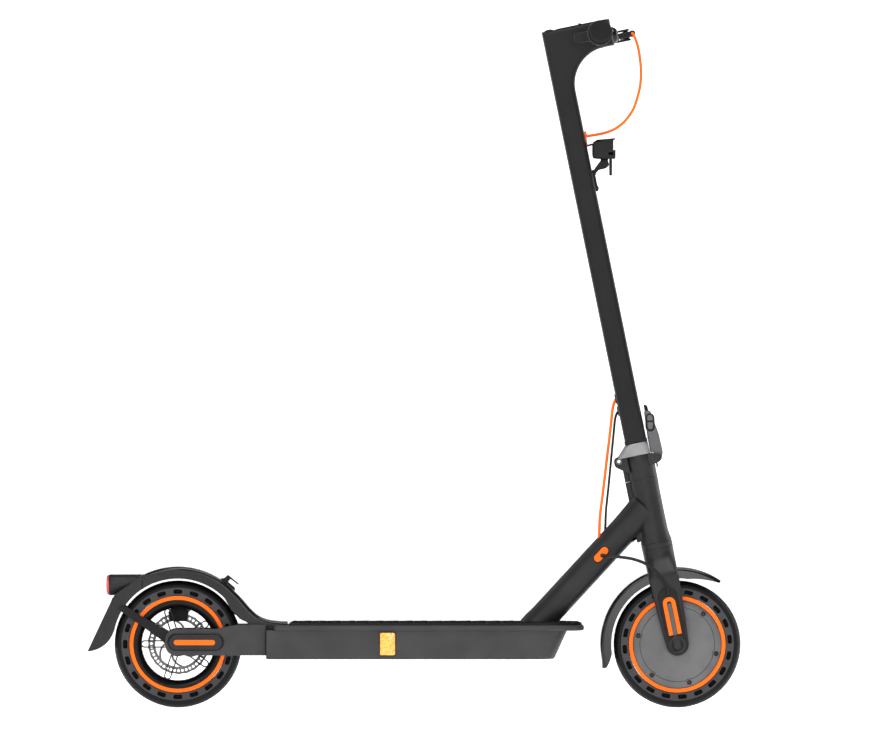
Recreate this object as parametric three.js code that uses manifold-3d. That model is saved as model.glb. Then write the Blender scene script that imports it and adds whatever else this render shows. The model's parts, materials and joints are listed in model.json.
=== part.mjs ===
// Electric kick scooter, as an assembly of separate pieces.
// Millimetres. +X is forward, +Y is the rider's left, +Z is up, and the ground is Z = 0.
// Frame pieces are placed from the rear axle. Everything above the front wheel is placed in
// the steering frame: its origin is the front axle, and its Z runs up the leaning steering axis.
import * as THREE from 'three';
import { mergeVertices } from 'three/addons/utils/BufferGeometryUtils.js';
import Module from 'manifold-3d';

const wasm = await Module();
wasm.setup();

// ---- Driving dimensions ----
const gap = 0.3;                    // air left between pieces that touch
const wheelbase = 825.6;            // rear axle to front axle
const lean = 11.5 * Math.PI / 180;  // steering axis, back from the vertical

const tyreRadius = 105;
const tyreWidth = 50;
const rimRadius = 80;               // tyre seat
const rimWidth = 42;

const deckRear = 146.4;             // rear axle to the back of the deck body
const deckFront = 182.2;            // front axle back to the top front edge of the deck body
const deckRake = 21;                // how far the deck's front face leans back to its bottom
const deckBottom = 81;
const deckTop = 137;
const deckWidth = 144;
const deckWall = 4;
const lipThickness = 9;
const lipOverhang = 4;              // beyond the deck body at each side
const lipFront = 154;               // front axle back to the lip's front edge
const lipRear = 158.4;              // rear axle to the lip's back edge
const matThickness = 5.7;
const matInset = 5;
const matRear = 183.4;              // rear axle to the back of the mat
const coverThickness = 3;
const portBack = 265;               // front axle back to the charge port, in the deck's left wall
const portZ = 104;
const portRadius = 9;
const reflectorBack = 466.2;        // front axle back to the front edge of each side reflector
const reflectorWidth = 25;

const downTubeRadius = 23;
const downTubeWall = 3;
const downTubeFoot = 230.6;         // front axle back to the tube's centre where it meets the deck
const downTubeJoint = 236.2;        // up the steering axis to where the two tubes' centres meet

const headTubeRadius = 23;
const headTubeBottom = 161.7;       // up the steering axis, as are the next heights
const headTubeTop = 278.5;
const forkTop = 161.2;
const steererRadius = 16;
const steererBore = 12;
const steererTop = 303;
const bearingHeight = 9;
const foldHeight = 318.3;           // top of the fold base
const hingeX = -34.1;               // hinge pin, in the steering frame
const hingeZ = 314.8;
const hingeBore = 3.7;
const lugRadius = 8;
const tongueWidth = 16;
const lugSpan = 38;                 // over the outside of the two lugs
const collarHeight = 20.4;

const axleRadius = 6;
const axleFit = 0.3;
const forkGap = 68;                 // between the fork legs
const forkLeg = 12;
const forkWidth = 48;
const forkTipRadius = 18.5;

const stemDepth = 36;
const stemWidth = 44;
const stemWall = 3;
const stemTop = 1036;               // top face of the stem head
const headReach = 96;               // steering axis to the front face of the stem head
const headHeight = 44;
const headFillet = 62;
const barX = 75;                    // handlebar centre, in the steering frame
const barDrop = 22;                 // stem top down to the handlebar's centre
const barZ = stemTop - barDrop;
const barRadius = 11;
const barWall = 2.4;
const barWidth = 430;               // over the grip ends
const gripLength = 119;
const gripRadius = 16;
const gripFlange = 20.5;

const fenderClearance = 22;         // tyre to the fender's crown
const fenderWidth = 60;
const fenderWall = 2.2;
const fenderSkirt = 16;
const armInner = 42;                // centre plane to the inner face of each rear arm
const armThickness = 10;
const armHeight = 44;
const armCentre = 109;              // height of the arm's centre line

const hubRadius = 20;
const hubHalf = 28;
const rotorRadius = 52;
const rotorPlane = 31;              // centre plane to the rotor's inner face
const rotorThickness = 2;
const motorRadius = 74;
const motorHalf = 26;

const lightRadius = 18.5;           // tail light housing
const lightHeight = 202;
const lightRear = -114.5;
const lightFront = -58.2;
const flapTip = -149.4;

// ---- Finishes: colour, roughness, metalness ----
const finishes = {
  satinBlack: [0x2c2c2d, 0.45, 0.3],
  darkGrey: [0x444444, 0.55, 0.3],
  midGrey: [0x6a6a6a, 0.6, 0.2],
  lightGrey: [0xa2a2a2, 0.5, 0.4],
  glossBlack: [0x1b1b1c, 0.18, 0],
  rubber: [0x1d1d1d, 0.9, 0],
  orange: [0xff6a1a, 0.5, 0],
  steel: [0xb9bcc0, 0.3, 0.9],
  amber: [0xf09a12, 0.25, 0],
  red: [0xc4101c, 0.2, 0],
  glass: [0x0a0a0c, 0.08, 0],
  green: [0x2f5b3a, 0.6, 0],
};

// ---- Helpers ----
const halfTurn = Math.PI;
const quarterTurn = Math.PI / 2;
const cornerSteps = 3;
const wheelSides = 32;              // flats around a wheel
const tubeSides = 24;               // around a frame tube
const smallSides = 14;              // around a pin, shaft or clamp

// A closed outline through [x, y, radius] corners; a corner with a radius is rounded.
function outline(corners) {
  const shape = new THREE.Shape();
  const count = corners.length;
  const at = (i) => new THREE.Vector2(corners[(i + count) % count][0], corners[(i + count) % count][1]);
  corners.forEach(([x, y, radius = 0], i) => {
    const here = at(i);
    const back = at(i - 1).sub(here);
    const ahead = at(i + 1).sub(here);
    const reach = radius ? radius / Math.tan(back.angleTo(ahead) / 2) : 0;
    const enter = here.clone().add(back.setLength(reach));
    const leave = here.clone().add(ahead.setLength(reach));
    if (i) shape.lineTo(enter.x, enter.y);
    else shape.moveTo(enter.x, enter.y);
    if (radius) shape.quadraticCurveTo(x, y, leave.x, leave.y);
  });
  shape.closePath();
  return shape;
}

// A bar with round ends, lying along x at height y.
function pill(x0, x1, y, radius) {
  const shape = new THREE.Shape();
  shape.absarc(x1 - radius, y, radius, -quarterTurn, quarterTurn);
  shape.absarc(x0 + radius, y, radius, quarterTurn, quarterTurn + halfTurn);
  shape.closePath();
  return shape;
}

function extrusion(shape, depth, bevel) {
  return new THREE.ExtrudeGeometry(shape, {
    depth: depth - 2 * bevel, steps: 1, curveSegments: cornerSteps, bevelEnabled: bevel > 0,
    bevelThickness: bevel, bevelSize: bevel, bevelOffset: -bevel, bevelSegments: 2,
  }).translate(0, 0, bevel);
}

// An (x, z) outline carried across from y0 to y1.
const across = (shape, y0, y1, bevel = 0) =>
  extrusion(shape, y1 - y0, bevel).rotateX(quarterTurn).translate(0, y1, 0);

// An (x, y) outline carried up from z0 to z1.
const upward = (shape, z0, z1, bevel = 0) => extrusion(shape, z1 - z0, bevel).translate(0, 0, z0);

// A (y, z) outline carried forward from x0 to x1.
const alongX = new THREE.Matrix4().makeBasis(
  new THREE.Vector3(0, 1, 0), new THREE.Vector3(0, 0, 1), new THREE.Vector3(1, 0, 0));
const forward = (shape, x0, x1) => extrusion(shape, x1 - x0, 0).applyMatrix4(alongX).translate(x0, 0, 0);

const block = ([x0, x1], [y0, y1], [z0, z1]) =>
  new THREE.BoxGeometry(x1 - x0, y1 - y0, z1 - z0)
    .translate((x0 + x1) / 2, (y0 + y1) / 2, (z0 + z1) / 2);

// A turned shape about Y, from [radius, y] points: either on the axis at both ends, or a loop.
function turnedY(profile, segments = tubeSides) {
  const loop = profile[0][0] > 0 ? [...profile, profile[0]] : profile;
  const area = loop.reduce((sum, [r, y], i) => {
    const [nextR, nextY] = loop[(i + 1) % loop.length];
    return sum + r * nextY - nextR * y;
  }, 0);
  const points = loop.map(([r, y]) => new THREE.Vector2(r, y));
  return new THREE.LatheGeometry(area > 0 ? points : points.reverse(), segments);
}
const turnedZ = (profile, segments) => turnedY(profile, segments).rotateX(quarterTurn);
const turnedX = (profile, segments) => turnedY(profile, segments).rotateZ(-quarterTurn);

const rodY = (radius, y0, y1, x = 0, z = 0, segments = smallSides) =>
  new THREE.CylinderGeometry(radius, radius, y1 - y0, segments).translate(x, (y0 + y1) / 2, z);
const rodZ = (radius, z0, z1, x = 0, y = 0, segments = smallSides) =>
  new THREE.CylinderGeometry(radius, radius, z1 - z0, segments)
    .rotateX(quarterTurn).translate(x, y, (z0 + z1) / 2);
const ringY = (inner, outer, y0, y1, segments) =>
  turnedY([[inner, y0], [outer, y0], [outer, y1], [inner, y1]], segments);
const ringZ = (inner, outer, z0, z1, segments) =>
  turnedZ([[inner, z0], [outer, z0], [outer, z1], [inner, z1]], segments);

// A round cord through [x, y, z] points.
function cord(points, radius, steps) {
  const sides = 8;
  const section = new THREE.Shape(Array.from({ length: sides }, (_, i) => new THREE.Vector2(
    radius * Math.cos(2 * halfTurn * i / sides), radius * Math.sin(2 * halfTurn * i / sides))));
  const path = new THREE.CatmullRomCurve3(points.map((p) => new THREE.Vector3(...p)), false, 'centripetal');
  return new THREE.ExtrudeGeometry(section, { steps, extrudePath: path });
}

// The solid that manifold cuts and joins: the geometry with its shared corners merged.
function solid(geometry) {
  const bare = geometry.clone();
  bare.deleteAttribute('normal');
  bare.deleteAttribute('uv');
  const merged = mergeVertices(bare, 1e-4);
  return new wasm.Manifold(new wasm.Mesh({
    numProp: 3, vertProperties: merged.attributes.position.array, triVerts: new Uint32Array(merged.index.array),
  }));
}

function geometryOf(body) {
  const mesh = body.getMesh();
  const geometry = new THREE.BufferGeometry();
  geometry.setAttribute('position', new THREE.BufferAttribute(mesh.vertProperties, 3));
  geometry.setIndex(new THREE.BufferAttribute(mesh.triVerts, 1));
  return geometry;
}

const join = (first, ...rest) =>
  geometryOf(rest.reduce((sum, other) => sum.add(solid(other)), solid(first)));
const cut = (first, ...tools) =>
  geometryOf(tools.reduce((left, tool) => left.subtract(solid(tool)), solid(first)));
const common = (first, second) => geometryOf(solid(first).intersect(solid(second)));

function piece(name, geometry, finish, parent) {
  const [color, roughness, metalness] = finishes[finish];
  const mesh = new THREE.Mesh(geometry, new THREE.MeshStandardMaterial({ color, roughness, metalness }));
  mesh.name = name;
  parent.add(mesh);
}

const sides = [['left', 1], ['right', -1]];
// The same shape on the other side of the centre plane, its faces wound to point out again.
function acrossPlane(geometry) {
  const flipped = mergeVertices(geometry.clone().scale(1, -1, 1));
  flipped.setIndex([...flipped.index.array].reverse());
  return flipped;
}
const mirrored = (geometry, side) => (side > 0 ? geometry : acrossPlane(geometry));

// ---- Groups ----
const scooter = new THREE.Group();
const front = new THREE.Group();    // the steering frame
front.position.set(wheelbase, 0, tyreRadius);
front.rotation.y = -lean;
front.updateMatrix();
scooter.add(front);
const rear = new THREE.Group();     // the rear axle
rear.position.set(0, 0, tyreRadius);
scooter.add(rear);

const inFrame = (geometry) => geometry.applyMatrix4(front.matrix);

// ---- Deck ----
const deckEnd = wheelbase - deckFront;
const lipEnd = wheelbase - lipFront;
const deckHalf = deckWidth / 2;
const portX = wheelbase - portBack;

// A deck seen from above: square at the back, well rounded at the front.
const deckPlan = (x0, x1, half, frontRadius, rearRadius) => outline([
  [x0, -half, rearRadius], [x1, -half, frontRadius], [x1, half, frontRadius], [x0, half, rearRadius]]);

const footX = wheelbase - downTubeFoot;
const jointX = wheelbase - downTubeJoint * Math.sin(lean);
const jointZ = tyreRadius + downTubeJoint * Math.cos(lean);
const tubeRun = Math.hypot(jointX - footX, jointZ - deckTop);
const tubeTilt = Math.atan2(jointX - footX, jointZ - deckTop);
const tubeFootExtra = 60;           // drawn below the deck top, then cut away

// A bar along the down tube's centre line, of any radius.
const downBar = (radius) => rodZ(radius, -tubeFootExtra, tubeRun, 0, 0, tubeSides)
  .rotateY(tubeTilt).translate(footX, 0, deckTop);

function deckPieces() {
  const body = common(
    across(outline([[deckRear, deckBottom], [deckEnd - deckRake, deckBottom, 6],
      [deckEnd, deckTop - lipThickness + 2], [deckRear, deckTop - lipThickness + 2]]), -deckHalf, deckHalf),
    upward(deckPlan(deckRear, deckEnd, deckHalf, 52, 4), deckBottom - 1, deckTop));
  const lip = upward(deckPlan(lipRear, lipEnd, deckHalf + lipOverhang, 56, 12),
    deckTop - lipThickness, deckTop, 1.5);
  const cavityPlan = (clear) => deckPlan(deckRear + deckWall + 2 + clear,
    deckEnd - deckRake - deckWall - 2 - clear, deckHalf - deckWall - clear, 48, 6);
  const cavity = upward(cavityPlan(0), deckBottom - 1, deckTop - lipThickness - deckWall);
  const portRecess = rodY(portRadius, deckHalf - deckWall / 2, deckHalf + 2, portX, portZ);
  piece('deck_frame', cut(join(body, lip), cavity, portRecess), 'darkGrey', scooter);

  const mat = upward(deckPlan(matRear, lipEnd - 3, deckHalf + lipOverhang - matInset, 52, 6),
    deckTop + gap, deckTop + matThickness, 1);
  piece('deck_mat', cut(mat, downBar(downTubeRadius + 1)), 'rubber', scooter);
  piece('deck_bottom_cover', upward(cavityPlan(gap), deckBottom, deckBottom + coverThickness),
    'darkGrey', scooter);

  const floor = deckBottom + coverThickness + gap;
  piece('battery_pack', block([deckRear + 40, deckRear + 350], [-52, 52], [floor, floor + 34]),
    'green', scooter);
  piece('motor_controller', block([deckEnd - 130, deckEnd - 50], [-36, 36], [floor, floor + 26]),
    'lightGrey', scooter);
}

function chargeCap() {
  const face = deckHalf + gap;
  const hingeDrop = 13.5;
  const flap = join(
    rodY(11.5, face, face + 2.6, portX, portZ),
    block([portX - 5, portX + 5], [face, face + 2.6], [portZ, portZ + hingeDrop + 1.4]));
  piece('charge_cap', flap, 'rubber', scooter);
}

function sideReflectors() {
  const shape = outline([[-reflectorWidth, 88, 3], [0, 88, 3], [0, 125, 3], [-reflectorWidth, 125, 3]]);
  for (const [name, side] of sides) {
    const plate = across(shape, deckHalf + gap, deckHalf + 4).translate(wheelbase - reflectorBack, 0, 0);
    piece(`side_reflector_${name}`, mirrored(plate, side), 'amber', scooter);
  }
}

// ---- Tubes of the frame and the headset ----
function frameTubes() {
  const belowDeck = block([footX - 150, footX + 150], [-60, 60], [deckTop - 150, deckTop + gap]);
  const headClearance = inFrame(rodZ(headTubeRadius + gap, 100, 330, 0, 0, tubeSides));
  const aheadOfHead = inFrame(block([-2, 100], [-60, 60], [100, 400]));
  piece('down_tube', cut(downBar(downTubeRadius), downBar(downTubeRadius - downTubeWall),
    belowDeck, headClearance, aheadOfHead), 'darkGrey', scooter);

  const seat = steererRadius + 4.5;
  const waist = steererRadius + 2;
  const flare = headTubeRadius + 2;
  const shell = turnedZ([
    [seat, headTubeBottom], [flare, headTubeBottom], [flare, headTubeBottom + 10],
    [headTubeRadius, headTubeBottom + 20], [headTubeRadius, headTubeTop], [seat, headTubeTop],
    [seat, headTubeTop - bearingHeight - 1], [waist, headTubeTop - bearingHeight - 1],
    [waist, headTubeBottom + bearingHeight + 1], [seat, headTubeBottom + bearingHeight + 1]]);
  const rib = block([-headTubeRadius - 6, -headTubeRadius + 1], [-4, 4], [headTubeTop - 24, headTubeTop - 2]);
  piece('head_tube', join(shell, rib), 'darkGrey', front);

  const bearing = (z) => ringZ(steererRadius + gap, seat - gap, z, z + bearingHeight);
  piece('headset_bearing_lower', bearing(headTubeBottom + 0.6), 'steel', front);
  piece('headset_bearing_upper', bearing(headTubeTop - bearingHeight - 0.6), 'steel', front);
}

// ---- Fork ----
const legInner = forkGap / 2;
const legOuter = legInner + forkLeg;
const fenderRadius = tyreRadius + fenderClearance;

function fork() {
  const crownBottom = fenderRadius + 0.6;
  const half = forkWidth / 2;
  const topHalf = headTubeRadius + 2;
  const frontView = outline([
    [-topHalf, forkTop], [-legOuter, forkTop - 34, 14], [-legOuter, -forkTipRadius - 1],
    [-legInner, -forkTipRadius - 1], [-legInner, crownBottom, 4], [legInner, crownBottom, 4],
    [legInner, -forkTipRadius - 1], [legOuter, -forkTipRadius - 1], [legOuter, forkTop - 34, 14],
    [topHalf, forkTop]]);
  const sideView = new THREE.Shape();
  sideView.absarc(0, 0, forkTipRadius, halfTurn, 2 * halfTurn);
  [[half, 72], [half, 125], [topHalf, forkTop + 1], [-topHalf, forkTop + 1], [-half, 125], [-half, 72]]
    .forEach(([x, z]) => sideView.lineTo(x, z));
  sideView.closePath();
  const legs = common(forward(frontView, -topHalf - 1, topHalf + 1), across(sideView, -legOuter, legOuter));
  const steerer = rodZ(steererRadius, forkTop - 15, steererTop, 0, 0, tubeSides);
  piece('fork', cut(join(legs, steerer), rodZ(steererBore, crownBottom - 10, steererTop + 1),
    rodY(axleRadius + axleFit, -60, 60)), 'satinBlack', front);
}

// ---- Fold base, hinge pin and collar ----
const collarBottom = foldHeight + gap;
const collarTop = collarBottom + collarHeight;
const neckRadius = headTubeRadius + 0.5;
const latchX = 30.5;                // latch pivot, in the steering frame
const latchZ = 309;
const latchWidth = 32;
const latchPin = 2.5;

function foldBase() {
  const bottom = headTubeTop + 0.5;
  const neck = turnedZ([
    [steererRadius + gap, bottom], [neckRadius, bottom], [neckRadius, foldHeight], [13, foldHeight],
    [13, steererTop + 1], [steererRadius + gap, steererTop + 1]]);
  const rib = block([-neckRadius - 5.5, -neckRadius + 1], [-4, 4], [bottom, hingeZ - 14]);
  const lugProfile = outline([[-18, 292], [-39, hingeZ - 6.3], [hingeX, foldHeight], [-18, foldHeight]]);
  const lugs = [-1, 1].flatMap((side) => {
    const [y0, y1] = side > 0 ? [tongueWidth / 2 + 0.5, lugSpan / 2] : [-lugSpan / 2, -tongueWidth / 2 - 0.5];
    return [rodY(lugRadius, y0, y1, hingeX, hingeZ), across(lugProfile, y0, y1)];
  });
  const earInner = latchWidth / 2 + 1;
  const earProfile = outline([[15, 299], [latchX, latchZ - 6], [latchX, latchZ + 6], [15, foldHeight]]);
  const ears = [-1, 1].flatMap((side) => {
    const [y0, y1] = side > 0 ? [earInner, earInner + 4] : [-earInner - 4, -earInner];
    return [rodY(6, y0, y1, latchX, latchZ), across(earProfile, y0, y1)];
  });
  const pin = rodY(latchPin, -earInner - 2, earInner + 2, latchX, latchZ);
  piece('fold_base', join(
    cut(join(neck, rib, ...lugs, ...ears),
      rodY(lugRadius + 0.4, -tongueWidth / 2 - 0.2, tongueWidth / 2 + 0.2, hingeX, hingeZ),
      rodY(hingeBore, -40, 40, hingeX, hingeZ)), pin), 'darkGrey', front);

  const head = lugSpan / 2 + gap;
  piece('hinge_pin', turnedY([
    [2.1, -head - 1.6], [5.4, -head - 1.6], [5.4, -head], [hingeBore - gap, -head],
    [hingeBore - gap, head], [5.4, head], [5.4, head + 1.6], [2.1, head + 1.6]], smallSides)
    .translate(hingeX, 0, hingeZ), 'steel', front);
}

function stemCollar() {
  const wedge = across(outline([[hingeX - 3, collarBottom], [0, collarBottom], [0, collarTop], [-14, collarTop]]),
    -lugSpan / 2, lugSpan / 2);
  const body = cut(join(ringZ(13, neckRadius, collarBottom, collarTop), wedge),
    rodZ(13, collarBottom - 1, collarTop + 1),
    rodY(lugRadius + 0.5, tongueWidth / 2 + 0.1, 40, hingeX, hingeZ),
    rodY(lugRadius + 0.5, -40, -tongueWidth / 2 - 0.1, hingeX, hingeZ));
  const tongue = rodY(lugRadius - 0.1, -tongueWidth / 2, tongueWidth / 2, hingeX, hingeZ);
  piece('stem_collar', cut(join(body, tongue), rodY(hingeBore, -40, 40, hingeX, hingeZ)), 'lightGrey', front);
}

// ---- Latch lever with its safety catch ----
function latch() {
  const profile = outline([
    [24.4, 303, 5], [36.5, 303, 5], [39.5, 325, 10], [39, 350], [33, 387, 4], [21.5, 388.5, 4],
    [20.5, 346], [24.4, 340]]);
  const half = latchWidth / 2;
  const pocket = block([23.5, 31.5], [-6.6, 6.6], [371, 395]);
  piece('latch_lever', cut(across(profile, -half, half, 1), rodY(latchPin + gap, -40, 40, latchX, latchZ), pocket),
    'midGrey', front);
  piece('safety_catch', block([24, 31], [-6, 6], [380, 399]), 'satinBlack', front);
}

// ---- Stem, bar and what sits on them ----
const stemBottom = collarTop + gap;
const stemHalf = stemDepth / 2;
const headBottom = stemTop - headHeight;
const displayDepth = 4.2;
const buttonX = -6;

function stemTube() {
  const profile = new THREE.Shape();
  profile.moveTo(-stemHalf, stemBottom);
  profile.lineTo(stemHalf, stemBottom);
  profile.absarc(stemHalf + headFillet, headBottom - headFillet, headFillet, halfTurn, quarterTurn, true);
  profile.lineTo(headReach, headBottom);
  profile.lineTo(headReach, stemTop);
  profile.lineTo(-stemHalf, stemTop);
  profile.closePath();
  const width = stemWidth / 2;
  const hollow = block([-stemHalf + stemWall, stemHalf - stemWall], [-width + stemWall, width - stemWall],
    [stemBottom - 10, headBottom - 8]);
  const screen = block([8, 90], [-17, 17], [stemTop - displayDepth - gap, stemTop + 1]);
  piece('stem_tube', cut(across(profile, -width, width, 4), hollow, screen,
    rodZ(5.3, stemTop - 8, stemTop + 1, buttonX), rodY(barRadius + gap, -60, 60, barX, barZ)),
  'satinBlack', front);
  piece('display', block([8 + gap, 90 - gap], [-17 + gap, 17 - gap], [stemTop - displayDepth, stemTop]),
    'glass', front);
  piece('power_button', rodZ(5, stemTop - 5, stemTop + 0.8, buttonX), 'orange', front);
}

const gripInner = barWidth / 2 - gripLength;
const barEnd = barWidth / 2 - 10;

function barPieces() {
  piece('handlebar', ringY(barRadius - barWall, barRadius, -barEnd, barEnd, smallSides).translate(barX, 0, barZ),
    'satinBlack', front);
  const outer = barWidth / 2;
  const bore = barRadius + gap;
  for (const [name, side] of sides) {
    const grip = turnedY([
      [bore, gripInner], [gripFlange, gripInner], [gripFlange, gripInner + 5], [gripRadius + 0.5, gripInner + 7],
      [gripRadius, outer - 10], [gripRadius + 2, outer - 8], [gripRadius + 2, outer - 1.5],
      [gripRadius, outer], [0, outer], [0, barEnd + gap], [bore, barEnd + gap], [bore, gripInner]], 20)
      .translate(barX, 0, barZ);
    piece(`grip_${name}`, mirrored(grip, side), 'rubber', front);
  }
}

const leverX = 120;                 // brake lever pivot, in the steering frame
const leverY = 84;
const leverZ = barZ - 8;
const clampRadius = 16.5;

function brakeLever() {
  const clamp = ringY(barRadius + gap, clampRadius, 76, 92, smallSides).translate(barX, 0, barZ);
  const arm = block([barX + 13, leverX + 4], [77, 91], [leverZ - 10, leverZ + 10]);
  const slot = block([leverX - 12, leverX + 20], [70, 100], [leverZ - 6.3, leverZ + 6.3]);
  const ends = rodZ(8, leverZ - 10, leverZ + 10, leverX, leverY);
  const pin = rodZ(2.5, leverZ - 8, leverZ + 8, leverX, leverY, 8);
  const adjuster = rodY(5.5, 50, 70, leverX + 10, leverZ, 12);
  const bridge = block([leverX - 17, leverX + 14], [64, 76.5], [leverZ - 4.5, leverZ + 4.5]);
  const root = block([leverX - 22, leverX - 12.5], [64, 84], [leverZ - 8, leverZ + 8]);
  piece('brake_perch', cut(join(clamp, cut(join(arm, ends), slot), pin, adjuster, bridge, root),
    rodY(barRadius + gap, 40, 120, barX, barZ)), 'satinBlack', front);

  const blade = upward(outline([
    [leverX - 7, leverY - 5.5, 4], [leverX + 8, leverY - 5.5, 4], [leverX + 10, leverY + 16, 8],
    [leverX + 3, leverY + 30, 12], [leverX + 6, 196, 5], [leverX - 5, 198, 5], [leverX - 7, leverY + 26, 12]]),
  leverZ - 6, leverZ + 6, 1.5);
  piece('brake_lever', cut(blade, rodZ(2.5 + gap, leverZ - 20, leverZ + 20, leverX, leverY, 8)),
    'satinBlack', front);
}

function throttle() {
  piece('throttle_body', ringY(barRadius + gap, 17.5, -92, -78, smallSides).translate(barX, 0, barZ),
    'satinBlack', front);
  const hub = ringY(barRadius + gap, 17, -77.6, -66, smallSides).translate(barX, 0, barZ);
  const paddle = across(outline([
    [barX - 44, barZ - 8, 3], [barX - 25, barZ - 9], [barX - 13, barZ - 6], [barX - 13, barZ + 6],
    [barX - 42, barZ + 8, 4]]), -88, -66.5, 1.5);
  const bodyClearance = rodY(18.2, -95, -77.6, barX, barZ);
  piece('throttle_paddle', cut(join(hub, paddle), bodyClearance, rodY(barRadius + gap, -95, -60, barX, barZ)),
    'satinBlack', front);
}

function bell() {
  const clamp = ringY(barRadius + gap, 15, 34, 42, smallSides).translate(barX, 0, barZ);
  const dome = turnedX([
    [0, barX + 11], [12, barX + 11], [14.5, barX + 17], [14.5, barX + 20], [12.5, barX + 26],
    [8, barX + 30], [0, barX + 32]], smallSides)
    .translate(0, 38, barZ - 5);
  piece('bell', cut(join(clamp, dome), rodY(barRadius + gap, 20, 70, barX, barZ)), 'satinBlack', front);
  const hub = ringY(barRadius + gap, 14.5, 53.4, 59, smallSides).translate(barX, 0, barZ);
  const tip = across(outline([
    [barX - 8, barZ + 10], [barX - 3, barZ + 13], [barX - 29, barZ + 27, 1.5], [barX - 31, barZ + 24, 1.5]]),
  53.4, 62);
  piece('bell_lever', cut(join(hub, tip), rodY(barRadius + gap, 40, 70, barX, barZ)), 'satinBlack', front);
}

// ---- Headlight ----
const lampX = 40.7;                 // tilt pivot, in the steering frame
const lampZ = stemTop - 233;
const lampEar = 6.2;

function headlight() {
  const plate = block([stemHalf + gap, stemHalf + 4], [-11, 11], [lampZ - 43, lampZ - 6]);
  const arm = across(outline([
    [stemHalf + 2, lampZ - 27], [lampX, lampZ - 8], [lampX + 6, lampZ - 2], [lampX, lampZ + 6],
    [lampX - 5, lampZ + 5], [stemHalf + 2, lampZ - 11]]), -9.5, 9.5);
  piece('headlight_bracket', join(cut(join(plate, arm, rodY(lampEar, -9.5, 9.5, lampX, lampZ)),
    rodY(lampEar + 1, -5.4, 5.4, lampX, lampZ)), rodY(2, -7, 7, lampX, lampZ, 8)), 'satinBlack', front);

  const lamp = new THREE.Group();   // level while the stem leans
  lamp.position.set(lampX, 0, lampZ);
  lamp.rotation.y = lean;
  front.add(lamp);
  const shell = across(outline([
    [-20, 7.5, 5], [15, 7.5, 3], [15, 37], [18.5, 37], [18.5, 42], [-14, 39, 6], [-20, 30, 6]]), -20, 20);
  const mouth = block([9, 25], [-16, 16], [11, 34]);
  const ear = join(rodY(lampEar, -5, 5), block([-5, 5], [-5, 5], [0, 9]));
  piece('headlight_housing', cut(join(cut(shell, mouth), ear), rodY(2.3, -20, 20, 0, 0, 8)),
    'satinBlack', lamp);
}

// ---- Wheels ----
const tyreHalf = tyreWidth / 2;
const rimHalf = rimWidth / 2;

const tyre = () => turnedY([
  [rimRadius + gap, -rimHalf], [rimRadius + 1, -tyreHalf + 1.5], [tyreRadius - 11, -tyreHalf],
  [tyreRadius - 3.5, -tyreHalf + 7], [tyreRadius, -8], [tyreRadius, 8], [tyreRadius - 3.5, tyreHalf - 7],
  [tyreRadius - 11, tyreHalf], [rimRadius + 1, tyreHalf - 1.5], [rimRadius + gap, rimHalf]], wheelSides);

function frontWheel() {
  const wall = 4;
  const bore = axleRadius + 2;
  const shell = turnedY([
    [bore, motorHalf], [motorRadius, motorHalf], [motorRadius, rimHalf], [rimRadius, rimHalf],
    [rimRadius, -rimHalf], [motorRadius - wall, -rimHalf], [motorRadius - wall, motorHalf - wall],
    [bore, motorHalf - wall]], wheelSides);
  piece('motor_shell', shell, 'midGrey', front);
  piece('motor_cover', turnedY([
    [bore, -motorHalf], [motorRadius - 3, -motorHalf], [motorRadius, -motorHalf + 2.5],
    [motorRadius, -rimHalf - gap], [motorRadius - wall - gap, -rimHalf - gap],
    [motorRadius - wall - gap, -motorHalf + wall + 4], [66, -motorHalf + wall + 4], [66, -motorHalf + wall],
    [bore, -motorHalf + wall]], wheelSides), 'midGrey', front);
  piece('front_tyre', tyre(), 'rubber', front);
  piece('motor_stator', ringY(axleRadius + gap, 62, -15, 15), 'lightGrey', front);

  const shaft = rodY(axleRadius, -legOuter - 8, legOuter + 8);
  const nuts = [-1, 1].map((side) => {
    const [y0, y1] = side > 0 ? [legOuter + gap, legOuter + 6] : [-legOuter - 6, -legOuter - gap];
    return new THREE.CylinderGeometry(10, 10, y1 - y0, 6).translate(0, (y0 + y1) / 2, 0);
  });
  piece('front_axle', join(shaft, ...nuts), 'lightGrey', front);
}

function frontFender() {
  const half = fenderWidth / 2;
  const wall = fenderWall;
  const section = new THREE.Shape([
    [-half, fenderSkirt], [-half, 7], [-half + 7, 1.5], [0, 0], [half - 7, 1.5], [half, 7], [half, fenderSkirt],
    [half - wall, fenderSkirt], [half - wall, 7 + wall], [half - 7, 1.5 + wall], [0, wall],
    [-half + 7, 1.5 + wall], [-half + wall, 7 + wall], [-half + wall, fenderSkirt],
  ].map(([x, y]) => new THREE.Vector2(x, y)));
  const points = [];
  for (let angle = 186; angle >= 44; angle -= 7.1) {
    const turn = THREE.MathUtils.degToRad(angle);
    points.push(new THREE.Vector3(fenderRadius * Math.cos(turn), 0, fenderRadius * Math.sin(turn)));
  }
  const path = new THREE.CatmullRomCurve3(points);
  piece('front_fender', new THREE.ExtrudeGeometry(section, { steps: 15, extrudePath: path }), 'glossBlack', front);
}

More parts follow.
